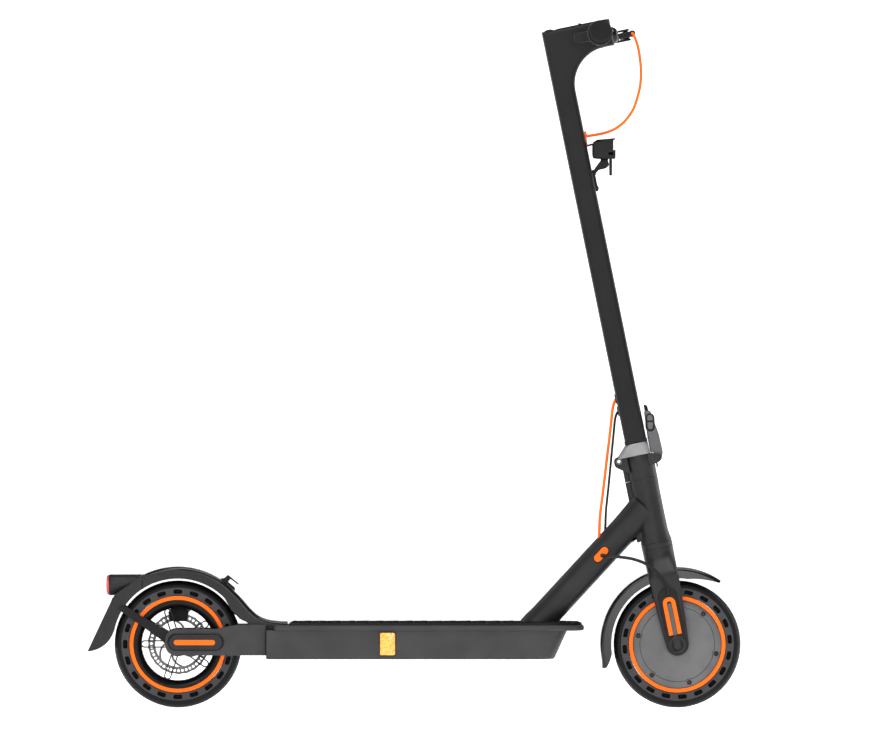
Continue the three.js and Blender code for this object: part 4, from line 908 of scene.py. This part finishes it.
leverOutline = rounded([[24.9, 303.2, 4], [35.0, 302.6, 6], [40.4, 316, 10], [39.8, 346, 30],
                        [33.4, 387.4, 3.5],
                        [23.2, 388.6, 3], [20.4, 345], [20.2, 319.4], [24.9, 318.8]], 10)
addPiece("latchLever", softPlate(leverOutline, -16, 16, 2.4, steps=5), "midGrey", "latch", "latch_lever",
         place=fromFront)
inset = upright(pill(353, 383.5, 0, 7.6, 18))
insetTurn, insetMiddle = math.radians(-9), (29.2, 368)


def alongLatch(points):  # turned to lie in the lever's own slope
    u, y, v = np.moveaxis(points, -1, 0)
    c, w = math.cos(insetTurn), math.sin(insetTurn)
    v = v - insetMiddle[1]
    return fromFront(np.stack([insetMiddle[0] + u * c - v * w, y, insetMiddle[1] + u * w + v * c], -1))


for side, label in ((-1, "Right"), (1, "Left")):
    dark = softPlate(inset, 15.2, 16.5, 0.5)
    addPiece("latchInset" + label, onSide(dark, side), "stemBlack", "latch", place=alongLatch)
    tab = softPlate(rounded([[-4.6, 371.5, 2], [4.6, 371.5, 2], [4.2, 380.5, 3.5], [-4.2, 380.5, 3.5]]),
                    16.2, 17.2, 0.4)
    blade = softPlate(rounded([[-5, 368.6, 2], [5, 368.6, 2], [3.6, 357, 4], [-3.6, 357, 4]]), 16.2, 17.0,
                      0.4)
    addPiece("latchTabs" + label, [onSide(tab, side), onSide(blade, side)], "midGrey", "latch",
             place=alongLatch)
catchOutline = rounded([[24.2, 380], [31, 380], [30.2, 396, 2], [27.4, 399, 1.5], [24.6, 398.6, 1.2]], 6)
addPiece("safetyCatch", softPlate(catchOutline, -5.9, 5.9, 1), "mouldedBlack", "catch", "safety_catch",
         place=fromFront)

# stem
stem = {"low": 339.3, "high": 1036, "back": -18, "front": 18, "reach": 96, "headLow": 992, "fillet": 62,
        "half": 22}


def stemOutline():
    # the back edge, the head's top and nose, then the hollow under the head as a quarter circle
    a = np.linspace(turn / 4, turn / 2, 26)
    under = np.stack([stem["front"] + stem["fillet"] * (1 + np.cos(a)),
                      stem["headLow"] - stem["fillet"] + stem["fillet"] * np.sin(a)], -1)
    down = np.linspace(stem["headLow"] - stem["fillet"] - 40, stem["low"], 8)
    front = np.stack([np.full(8, float(stem["front"])), down], -1)
    corners = [[stem["back"], stem["low"]], [stem["back"], stem["high"]], [stem["reach"], stem["high"]],
               [stem["reach"], stem["headLow"]]]
    return np.concatenate([corners, under, front])


addPiece("stemTube", softPlate(stemOutline(), -stem["half"], stem["half"], 7.5, steps=7), "stemBlack", "stem",
         "stem_tube", place=fromFront, soft=32)
foot = softPlate(np.array([[-18.8, 339.3], [18.8, 339.3], [18.8, 344.6], [-18.8, 344.6]]), -22.7, 22.7, 2.2,
                 steps=7)
addPiece("stemFoot", foot, "stemBlack", "stem", place=fromFront)
screenPlan = rounded([[8.4, -16.6, 4], [89.6, -16.6, 4], [89.6, 16.6, 4], [8.4, 16.6, 4]])
addPiece("displayCover", softPlate(screenPlan, 1034, 1036.7, 0.6, "z"), "screen", "stem", "display",
         place=fromFront)
bezel = plate([rounded([[6, -19, 5], [92, -19, 5], [92, 19, 5], [6, 19, 5]]), screenPlan[::-1]], 1034.4,
              1036.45, "z")
addPiece("displayBezel", bezel, "mouldedBlack", "stem", place=fromFront, bevel=0.3)
buttonShape = turnedUp([[0, 1037.3], [4.8, 1037.3], [4.8, 1038.0], [4.2, 1038.5], [1.6, 1038.3],
                        [0, 1038.1]], 40)
addPiece("powerButton", buttonShape, "mouldedBlack", "power_key", "power_button",
         place=lambda p: fromFront(p + [-6, 0, 0]))
buttonRing = turnedUp([[5.2, 1035.6], [7.4, 1035.6], [7.2, 1036.8], [6.4, 1037.6], [5.5, 1037.6],
                       [5.2, 1037.3]], 48)
addPiece("buttonRing", buttonRing, "mouldedBlack", "stem", place=lambda p: fromFront(p + [-6, 0, 0]))
strip = softPlate(rounded([[17.4, 835.4, 0.8], [19.4, 835.4, 0.8], [20.2, 848, 4], [22.0, 855, 3],
                           [22.0, 861.6, 1.2], [17.4, 861.6, 1.2]]), -4.6, 4.6, 0.7)
addPiece("stemGrommet", strip, "orange", "stem", place=fromFront)
rearStrips = [softPlate(rounded([[-19.8, v - 8, 1.4], [-17.4, v - 8], [-17.4, v + 8], [-19.8, v + 8, 1.4]]),
                        y - 3.6, y + 3.6, 0.8)
              for v, y in ((417.5, -6), (396.4, 6))]
addPiece("rearGrommets", rearStrips, "mouldedBlack", "stem", place=fromFront)
print("stem made")

# handlebar and what sits on it
atBar = (75, 1014)
barProfile = [[8.6, -204.8], [10.6, -204.8], [11, -204.4], [11, 204.4], [10.6, 204.8], [8.6, 204.8]]
addPiece("handlebar", turned(barProfile, 64, atBar), "stemBlack", "stem", "handlebar", place=fromFront)


def gripShape(side):
    # a turned grip whose waist swells and is cut by fine ribs: radius is a slow wave plus small clipped waves
    y = np.linspace(104, 204, 201)
    t = (y - 104) / 100
    waist = 15.3 + 1.3 * np.cos(turn * (t - 0.5)) * 0.6 + 0.5 * t
    rib = 0.55 * np.clip(np.cos(turn * y / 4.0) * 1.6, -1, 1) * np.clip(np.minimum(t, 1 - t) * 12, 0, 1)
    body = np.stack([waist + rib, y], -1)
    profile = np.concatenate([[[11.3, 96.4], [19.6, 96.4], [20.4, 97.2], [20.4, 100], [19.4, 101.2],
                               [16.6, 102.6]],
                              body, [[17.9, 205.5], [18.0, 212.6], [17.2, 214.2], [15.8, 214.9],
                                     [15.2, 214.4],
                                     [14.6, 214.0], [0, 214.0]]])
    profile = profile * [1, side]
    return turned(np.concatenate([[[0, side * 205.2], [11.3, side * 205.2]], profile]), 64, atBar)


for side, label in ((1, "Left"), (-1, "Right")):
    addPiece("grip" + label, gripShape(side), "gripRubber", "stem", "grip_" + label.lower(), place=fromFront)
    gripCollar = turned([[19.6, side * 97.4], [20.9, side * 97.8], [20.9, side * 99.8],
                         [19.6, side * 100.2]], 72, atBar)
    addPiece("gripRing" + label, gripCollar, "midGrey", "stem", place=fromFront)

clampShapes = [turned([[11.3, 76], [15.6, 76], [16.4, 76.8], [16.4, 91.2], [15.6, 92], [11.3, 92]], 56,
                      atBar)]
armOutline = rounded([[86, 78.2, 3], [108, 78.2, 3], [126.5, 77, 4], [126.5, 91, 6], [108, 90.4, 3],
                      [86, 90, 3]], 6)
for low, high in ((1012.6, 1015.9), (996.1, 999.6)):
    clampShapes.append(softPlate(armOutline, low, high, 0.9, "z"))
clampShapes.append(softPlate(rounded([[88, 66, 3], [107, 66, 3], [107, 92, 2], [88, 92, 2]]), 997, 1015, 2.0,
                             "z"))
clampShapes.append(softPlate(rounded([[103, 64.5, 3], [134, 64.5, 4], [134, 76, 4], [103, 76, 3]]), 1001.4,
                             1010.6, 2.0, "z"))
knob = [[0, 50.2], [3.2, 50.2], [4.6, 50.6], [5.4, 52], [5.4, 55.6], [4.7, 56.2], [4.7, 57.4], [5.5, 58.2],
        [5.5, 66], [0, 66]]
clampShapes.append(turned(knob, 28, (130, 1006)))
pivotBolt = turnedUp([[0, 996.4], [3.4, 996.4], [3.6, 996.9], [3.6, 1015.3], [3.2, 1016], [0, 1016]], 28)
clampShapes.append(moved(pivotBolt, [120, 84, 0]))
addPiece("leverPerch", clampShapes, "mouldedBlack", "stem", "brake_perch", place=fromFront)


def leverBlade():
    # a flat round-edged section carried out along the lever's curve, wider at the finger end
    t = np.linspace(0, 1, 60)
    path = smoothPath([[119, 80.5, 1006], [121.4, 90, 1006], [119.4, 102, 1006], [115.4, 116, 1006],
                       [115.2, 135, 1006],
                       [117.4, 160, 1006], [120, 182, 1006], [120.6, 192, 1006], [119, 198, 1006]], 60)
    width = 5.4 - 1.3 * np.sin(turn * np.clip(t, 0, 0.5)) + 0.9 * np.clip((t - 0.8) / 0.2, 0, 1)
    cap = np.sqrt(np.clip(1 - np.clip((t - 0.5) * 2, 0, 1) ** 12, 0.02, 1))
    section = np.stack([roundedBox(6.2 * c, w * c, 2.4 * c) for w, c in zip(width, cap)])
    along = np.gradient(path, axis=0)
    along /= np.linalg.norm(along, axis=1, keepdims=True)
    return lofted(section, path, [0, 0, 1], np.cross(along, [0, 0, 1]))


addPiece("brakeLever", leverBlade(), "stemBlack", "brake_handle", "brake_lever", place=fromFront)
throttleShapes = [turned([[11.3, -91.8], [16.4, -91.8], [17.4, -91], [17.4, -79], [16.8, -78.2],
                          [11.3, -78.2]], 56, atBar)]
throttleShapes.append(softPlate(rounded([[66, 998, 3], [84, 998, 3], [84, 994, 3], [66, 994, 3]]), -90, -80,
                                1.2))
addPiece("throttleClamp", throttleShapes, "mouldedBlack", "stem", "throttle_body", place=fromFront)
paddleOutline = rounded([[30.6, 1007, 3], [44, 1004.6, 6], [63, 1004, 2], [66, 1022, 3], [48, 1021.6, 6],
                         [33, 1022.4, 4]], 8)
paddleShapes = [turned([[11.3, -77.6], [16.2, -77.6], [17, -76.8], [17, -67], [16.2, -66.2], [11.3, -66.2]],
                       56, atBar),
                softPlate(paddleOutline, -77.2, -66.8, 1.8)]
addPiece("throttlePaddle", paddleShapes, "mouldedBlack", "throttle", "throttle_paddle", place=fromFront)
bellShapes = [turned([[11.3, 34.2], [14.2, 34.2], [15, 35], [15, 41], [14.2, 41.8], [11.3, 41.8]], 48, atBar)]
dome = turnedAlong([[0, 86], [11.4, 86], [13.6, 87.4], [14.5, 90], [14.6, 92.4], [14.2, 93], [14.2, 93.8],
                    [14.6, 94.4],
                    [14.4, 97], [13.2, 100.6], [10.8, 103.8], [7.6, 105.8], [4, 106.8], [0, 107]], 56)
bellShapes.append(moved(dome, [0, 38, 1009]))
addPiece("bellDome", bellShapes, "glossBlack", "stem", "bell", place=fromFront)
thumb = rounded([[66, 1024, 2], [72, 1026, 2], [58, 1036, 8], [45.6, 1041, 1.6], [44.6, 1038, 1.4],
                 [56, 1032, 8]], 7)
thumbShapes = [turned([[11.3, 53.6], [14, 53.6], [14.6, 54.2], [14.6, 58.2], [14, 58.8], [11.3, 58.8]], 48,
                      atBar),
               softPlate(thumb, 53.8, 61.6, 1.0)]
addPiece("bellThumb", thumbShapes, "mouldedBlack", "bell_thumb", "bell_lever", place=fromFront)
print("handlebar made")

# headlight
lampPivot = (40.7, 803)


def fromLamp(points):  # level lamp frame to row frame
    return points + fromFront(np.array([[lampPivot[0], 0, lampPivot[1]]]))[0]


bracketShapes = [softPlate(rounded([[-10.8, 760.4, 4], [10.8, 760.4, 4], [10.8, 796.6, 4],
                                    [-10.8, 796.6, 4]]), 18.4, 22.2, 1, "x")]
armLine = rounded([[18.4, 786, 1.2], [30, 794.6, 8], [40.6, 794.6, 4], [48.4, 798, 5], [47, 809, 5],
                   [36, 809.6, 5], [27, 801.6, 8], [18.4, 793.4, 1.2]], 7)
for low, high in ((5.5, 9.4), (-9.4, -5.5)):
    bracketShapes.append(softPlate(armLine, low, high, 1))
bracketShapes.append(turned([[0, -11.8], [3.4, -11.8], [3.8, -11.2], [3.8, 11.2], [3.4, 11.8], [0, 11.8]],
                            28, lampPivot))
for v in (766, 790):
    bolt = swap(plate([ring(2.6, 20), ring(1.3, 6)[::-1]], 22, 23.6, "z"), [2, 0, 1])
    bracketShapes.append(moved(bolt, [0, 0, v]))
addPiece("lampBracket", bracketShapes, "mouldedBlack", "stem", "headlight_bracket", place=fromFront)


def lampShell():
    # rounded boxes from the back of the lamp to its lip, then back inside to the reflector bowl
    x = np.array([-20, -19.4, -18, -12, -4, 6, 14.2, 14.8, 14.8, 14.2, 9.5])
    low = np.array([14, 10.4, 8.6, 7.7, 7.6, 7.6, 7.6, 8.2, 9.6, 10.2, 12.5])
    high = np.array([28, 33, 36, 38.6, 39.2, 39.6, 39.9, 39.4, 36.2, 35.4, 33])
    half = np.array([11, 15.6, 17.8, 19.4, 19.9, 19.9, 19.9, 19.4, 17.6, 16.8, 14.8])
    section = np.stack([roundedBox(h, (b - a) / 2, min(6.5, (b - a) / 2 - 0.2)) for a, b,
                        h in zip(low, high, half)])
    origins = np.stack([x, np.zeros(len(x)), (low + high) / 2], -1)
    return lofted(section, origins, [0, 1, 0], [0, 0, 1])


visor = rounded([[-13.5, 38.0, 1], [-13.5, 39.0, 1], [18.4, 42.0, 0.6], [17.9, 40.4, 0.6], [12, 36.5]], 5)
chin = rounded([[6, 8, 1], [18.2, 8, 1.5], [18.4, 22.4, 1.2], [15.6, 22.4, 1], [13.6, 19, 2], [6, 19]], 5)
lampShapes = [lampShell(), softPlate(visor, -19.4, 19.4, 0.4)]
for low, high in ((17.2, 19.9), (-19.9, -17.2)):
    lampShapes.append(softPlate(chin, low, high, 0.6))
lampShapes.append(softPlate(rounded([[-5, -4.4, 3], [5, -4.4, 3], [6.6, 9, 2], [-6.6, 9, 2]]), -5.2, 5.2, 1))
fins = [softPlate(np.array([[-20.2, z - 0.8], [-14, z - 0.8], [-14, z + 0.8], [-20.2, z + 0.8]]), -12, 12,
                  0.4) for z in (16, 20, 24, 28)]
lampShapes.append(softPlate(rounded([[8.0, -19.8, 1.2], [12.8, -19.8, 1.2], [12.8, 9, 1], [8.0, 9, 1]]), -5,
                            5, 0.8))
addPiece("lampHousing", lampShapes + fins, "mouldedBlack", "lamp", "headlight_housing", place=fromLamp)
lampGlass = softPlate(rounded([[-14.4, 12.8, 4], [14.4, 12.8, 4], [14.4, 32.8, 4], [-14.4, 32.8, 4]]), 9.6,
                      12.4, 1.0, "x")
addPiece("lampGlass", lampGlass, "lampLens", "lamp", place=fromLamp)
wireEnds = np.array([[-30.5, 0, 30.2], [-18.5, 0, 31.6]])
lampWire = cable("lampWire", [wireEnds[0], [-26, 0, 30.0], [-22, 0, 31.4], wireEnds[1]], 1.7, "blackJacket",
                 None, None, fromLamp, 24)
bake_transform(lampWire)
print("headlight made")
# fenders
def fenderShape(path, half, skirts, wall):
    # a thin arched section with side skirts, carried along the path; skirts is their depth at each point
    path = np.asarray(path, float)
    a = np.linspace(0, turn / 4, 7)
    corner = np.stack([half - 6 + 6 * np.cos(a), -6.8 + 6 * np.sin(a)], -1)
    y = np.linspace(half - 6, 0, 9)[1:]
    side = np.concatenate([corner, np.stack([y, -0.8 * (y / (half - 6)) ** 2], -1)])
    outer = np.concatenate([side, side[-2::-1] * [-1, 1]])
    shrink = (half - wall) / half
    inner = outer[::-1] * [shrink, (6.8 - wall) / 6.8] - [0, wall]
    along = np.gradient(path, axis=0)
    along /= np.linalg.norm(along, axis=1, keepdims=True)
    up = np.stack([-along[:, 1], along[:, 0]], -1)
    up *= np.sign(up[len(up) // 2, 1])
    rows = []
    for depth in skirts:
        rim = [[half, -depth], [half, -min(depth, 7.2)]]
        low = [[-half, -min(depth, 7.2)], [-half, -depth], [-half + wall, -depth],
               [-half + wall, -min(depth, 7.5)]]
        back = [[half - wall, -min(depth, 7.5)], [half - wall, -depth]]
        rows.append(np.concatenate([rim, np.maximum(outer, [-99, -depth]), low,
                                    np.maximum(inner, [-99, -depth]), back]))
    origins = np.stack([path[:, 0], np.zeros(len(path)), path[:, 1]], -1)
    return lofted(np.stack(rows), origins, [0, 1, 0], np.stack([up[:, 0], np.zeros(len(path)), up[:, 1]], -1))


frontFender = {"radius": 128, "from": 186, "to": 44, "half": 30, "skirt": 19, "wall": 2.2}
sweepSteps = np.linspace(0, 1, 110)
fenderAngle = np.radians(frontFender["from"] + (frontFender["to"] - frontFender["from"]) * sweepSteps)
flare = 3.0 * np.clip((0.06 - sweepSteps) / 0.06, 0, 1) ** 2
fenderRound = np.stack([np.cos(fenderAngle), np.sin(fenderAngle)], -1)
fenderPath = (frontFender["radius"] + flare)[:, None] * fenderRound
tipTaper = np.minimum(np.clip(0.12 + sweepSteps / 0.075, 0, 1) ** 0.6,
                      np.clip(0.1 + (1 - sweepSteps) / 0.2, 0, 1) ** 0.8)
addPiece("frontFender", fenderShape(fenderPath, frontFender["half"],
                                    2.6 + (frontFender["skirt"] - 2.6) * tipTaper,
                                    frontFender["wall"]), "glossBlack", "steering", "front_fender",
         place=fromFront, soft=50)
axleShape = [turned([[0, -49.4], [5.9, -49.4], [5.9, 49.4], [0, 49.4]], 40)]
addPiece("frontAxle", axleShape, "darkSteel", "steering", "front_axle", place=fromFront)

rearFender = {"radius": 129, "from": 120, "to": 44, "half": 32, "skirt": 20.5, "wall": 2.2}
a = np.radians(np.linspace(rearFender["from"], rearFender["to"], 15))
guidePoints = np.concatenate([rearFender["radius"] * np.stack([np.cos(a), np.sin(a)], -1),
                              [[107.6, 74.4], [121, 59], [134.5, 47.5], [149, 41.6], [165, 39.2],
                               [181.4, 38.4]]])
guidePoints = np.stack([guidePoints[:, 0], np.zeros(len(guidePoints)), guidePoints[:, 1]], -1)
fenderLine = smoothPath(guidePoints, 120)[:, [0, 2]]
skirtAlong = np.interp(fenderLine[:, 0], [-65, -40, 92, 107, 121, 134, 149, 165, 182],
                       [*3 * [rearFender["skirt"]], 26, 25, 17, 10, 8, 7.4])
addPiece("rearFender", fenderShape(fenderLine, rearFender["half"], skirtAlong, rearFender["wall"]),
         "glossBlack", "frame",
         "rear_fender", place=fromRear, soft=50)
flapArc = np.radians(np.linspace(168, 119, 24))
t = np.linspace(0, 1, 12)[:, None]
flapCurve = (1 - t) ** 2 * [-149.4, -12] + 2 * t * (1 - t) * [-116, -9] + t ** 2 * [108.4 * math.cos(2.93),
        108.4 * math.sin(2.93)]
flapOutline = np.concatenate([flapCurve[:-1], 108.4 * np.stack([np.cos(flapArc), np.sin(flapArc)], -1),
                              [[-57.8, 96], [-57.8, 113.4], [-66, 110], [-80, 99], [-94, 90], [-104, 82],
                               [-108, 76]]])
flapShapes = [softPlate(flapOutline, -30.8, 30.8, 1.6)]
addPiece("mudFlap", flapShapes, "frameGrey", "frame", "mud_flap", place=fromRear)
panel = rounded([[-119, 43, 2], [-105.5, 76, 3], [-94.5, 77.5, 3], [-108.5, 42, 3]], 6)
for side, label in ((-1, "Right"), (1, "Left")):
    flapRim = plate([rounded([[-121.5, 41, 3], [-107.5, 78.5, 4], [-92, 80, 4], [-106, 39.6, 4]], 6),
                     panel[::-1]], 30.4, 31.6)
    addPiece("flapRim" + label, onSide(flapRim, side), "frameGrey", "frame", place=fromRear, bevel=0.4)


def tailShape():
    # round at the lens, flatter and lifted where it joins the fender
    t = np.array([0, 0.02, 0.05, 0.2, 0.4, 0.6, 0.8, 0.97, 1.0])
    lip = np.array([1.2, 0.4, 0, 0, 0, 0, 0, 0, 0.4])
    height, width = 17.6 - 6.8 * t ** 1.6 - lip, 17.6 + 3.4 * t - lip
    section = np.stack([np.stack([w * np.cos(np.linspace(0, turn, 64, endpoint=False)),
                                  h * np.sin(np.linspace(0, turn, 64, endpoint=False))], -1) for w,
                        h in zip(width, height)])
    origins = np.stack([-114.9 + 56.4 * t, np.zeros(9), 97.6 + 7.0 * t ** 1.6], -1)
    return lofted(section, origins, [0, 1, 0], [0, 0, 1])


fairing = rounded([[-58.2, 93], [-58.2, 115.0, 0.8], [-38, 115.2, 6], [-27, 112.4, 4], [-22, 107.2, 2],
                   [-40, 101.6]], 5)
addPiece("tailFairing", softPlate(fairing, -33.2, 33.2, 0.7), "frameGrey", "frame", place=fromRear)
tailSeam = softPlate(np.array([[-58.9, 91], [-57.7, 91], [-57.7, 115.3], [-58.9, 115.3]]), -33.4, 33.4, 0.2)
addPiece("tailSeam", tailSeam, "rimBlack", "frame", place=fromRear)
addPiece("tailLight", tailShape(), "frameGrey", "frame", "taillight_housing", place=fromRear)
tailLens = turnedAlong([[0, -119.6], [8, -119.5], [13.6, -118.8], [16, -117.4], [16.5, -115.4], [16.5, -112],
                        [0, -112]], 64)
addPiece("tailLens", moved(tailLens, [0, 0, 97.6]), "redLens", "frame", "taillight_lens", place=fromRear)
hookAngle = math.radians(50.7)


def onFender(points):  # x along the fender's own slope, z out from its surface
    x, y, z = np.moveaxis(points, -1, 0)
    reach = rearFender["radius"] + z
    return fromRear(np.stack([reach * math.cos(hookAngle) + x * math.sin(hookAngle), y,
                              reach * math.sin(hookAngle) - x * math.cos(hookAngle)], -1))


hookOutline = rounded([[-15, -0.8, 0.6], [17, -0.8, 0.6], [13.4, 2.7, 1], [-1.2, 2.9, 1.2], [-1.2, 9.4, 1.2],
                       [14.8, 9.8, 0.8],
                       [14.8, 11.7, 0.8], [-8.6, 11.9, 1.6], [-10.4, 3, 1.2]], 5)
addPiece("fenderHook", softPlate(hookOutline, -8.8, 8.8, 0.5), "mouldedBlack", "frame", "fender_hook",
         place=onFender)
print("fenders made")

# rear arms, axle and brake
armSide = rounded([[146.1, -18], [-20.8, -18, 21], [-20.8, 26, 21], [63, 26, 6], [98, 33, 12], [146.1, 33]],
                  10)
for side, label in ((-1, "Right"), (1, "Left")):
    arm = softPlate(armSide, 42.2, 52, 2.2)
    addPiece("rearArm" + label, onSide(arm, side), "deckGrey", "frame", "rear_arm_" + label.lower(),
             place=fromRear)
    rim = softPlate(pill(-16.6, 76.6, 4, 14.2, 20), 51.6, 55.0, 1.2)
    addPiece("coverRim" + label, onSide(rim, side), "rimBlack", "frame", place=fromRear)
    cover = softPlate(pill(-14.6, 74.6, 4, 12.2, 20), 53, 59.0, 2.6, steps=6)
    addPiece("axleCover" + label, onSide(cover, side), "frameGrey", "frame", place=fromRear)
    stripe = softPlate(pill(-6, 62.2, 3.6, 4.3, 14), 58.2, 59.9, 0.7)
    addPiece("armStripe" + label, onSide(stripe, side), "orange", "frame", place=fromRear)
addPiece("rearAxle", turned([[0, -56], [5.9, -56], [5.9, 56], [0, 56]], 40), "darkSteel", "frame",
         "rear_axle", place=fromRear)
stayEnd = np.array([-91.5, 59.8])
stayAlong = stayEnd / np.linalg.norm(stayEnd)
stayAcross = np.array([-stayAlong[1], stayAlong[0]])
eyeTurn = np.linspace(-1.1, 1.1 - turn, 30)[:, None]
stayOutline = np.concatenate([
    [stayEnd + stayAcross * 5.5, stayEnd + stayAlong * 4 + stayAcross * 3,
     stayEnd + stayAlong * 4 - stayAcross * 3, stayEnd - stayAcross * 5.5, stayAlong * 30 - stayAcross * 8.5],
    14 * (stayAlong * np.cos(eyeTurn) + stayAcross * np.sin(eyeTurn)),  # round the axle
    [stayAlong * 30 + stayAcross * 8.5]])
stayShapes = [onSide(softPlate(stayOutline, 34.4, 37.6, 0.8), side) for side in (-1, 1)]
stayShapes.append(turned([[0, -36], [1.9, -36], [1.9, 36], [0, 36]], 20, (-86.5, 56.5)))
addPiece("fenderStay", stayShapes, "stemBlack", "frame", "fender_stay", place=fromRear)
caliperOutline = rounded([[-14, 37, 2], [14, 37, 2], [17, 52, 3], [10.5, 62, 4], [-10.5, 62, 4],
                          [-17, 52, 3]], 7)
caliperShapes = [softPlate(caliperOutline, 26.6, 30.1, 1.1), softPlate(caliperOutline, 33.9, 41, 1.4),
                 softPlate(rounded([[-12, 54.6, 1], [12, 54.6, 1], [10, 61.4, 3], [-10, 61.4, 3]]), 28, 38,
                           0.8),
                 turned([[0, 38], [3.0, 38], [3.0, 47], [0, 47]], 28, (0, 50))]
addPiece("brakeCaliper", caliperShapes, "mouldedBlack", "frame", "brake_caliper", place=fromRear)
caliperArm = rounded([[-7.4, 44, 4], [7, 44, 4], [28.4, 61.6, 3.5], [24.4, 70, 3], [12, 62, 8],
                      [-7.4, 57, 4]], 7)
addPiece("caliperArm", [softPlate(caliperArm, 41.4, 44.3, 0.7),
                        turned([[3.1, 44], [6, 44], [6, 46], [3.1, 46]], 28, (0, 50))],
         "darkSteel", "caliper_lever", "caliper_arm", place=fromRear)
addPiece("armFiller", softPlate(np.array([[138, 20], [176, 20], [176, 32.4], [138, 32.4]]), -41, 41, 1),
         "rimBlack", "frame", place=fromRear)
print("rear end made")

# kickstand and charge port cap, on the far side
standTilt = math.radians(25.3)


def fromStand(points):
    x, y, z = np.moveaxis(points, -1, 0)
    return np.stack([x, y * math.cos(standTilt) - z * math.sin(standTilt),
                     y * math.sin(standTilt) + z * math.cos(standTilt)], -1) + [-120.2, 79.3, 96]


bracket = softPlate(rounded([[-136, 84.2, 4], [-104.4, 84.2, 4], [-104.4, 111.8, 3], [-136, 111.8, 3]]),
                    72.4, 79, 1.4)
addPiece("standBracket", bracket, "frameGrey", "frame", "kickstand_bracket")
legShapes = [softPlate(pill(-114, -6, 0, 4.9, 14), 7.2, 14.4, 2.0),
             turned([[4.4, 6.7], [9.4, 6.7], [9.9, 7.2], [9.9, 14.4],
             [9.4, 14.9], [4.4, 14.9]], 48), softPlate(pill(-118, -104, 0, 6, 12), 5.2, 15.8, 2.0)]
addPiece("standLeg", legShapes, "frameGrey", "stand", "kickstand_leg", place=fromStand)
capShape = softPlate(ring(11.4, 48, (170, 104)), 72.4, 74.8, 0.9)
capTab = softPlate(rounded([[165.2, 104], [174.8, 104], [174.8, 118.6, 2], [165.2, 118.6, 2]]), 72.5, 74.2,
                   0.6)
addPiece("chargeCap", [capShape, capTab], "gripRubber", "port_cap", "charge_cap")
print("stand and cap made")

# the CAD nodes that show as they are
shownNodes = {"battery_pack": "batteryWrap", "motor_controller": "collarGrey", "motor_stator": "steel",
              "headset_bearing_lower": "steel", "headset_bearing_upper": "steel",
              "rear_hub_bearings": "steel"}
for nodeName, finish in shownNodes.items():
    for materialSlot in frame["nodes"][nodeName].material_slots:
        materialSlot.material = finishes[finish]
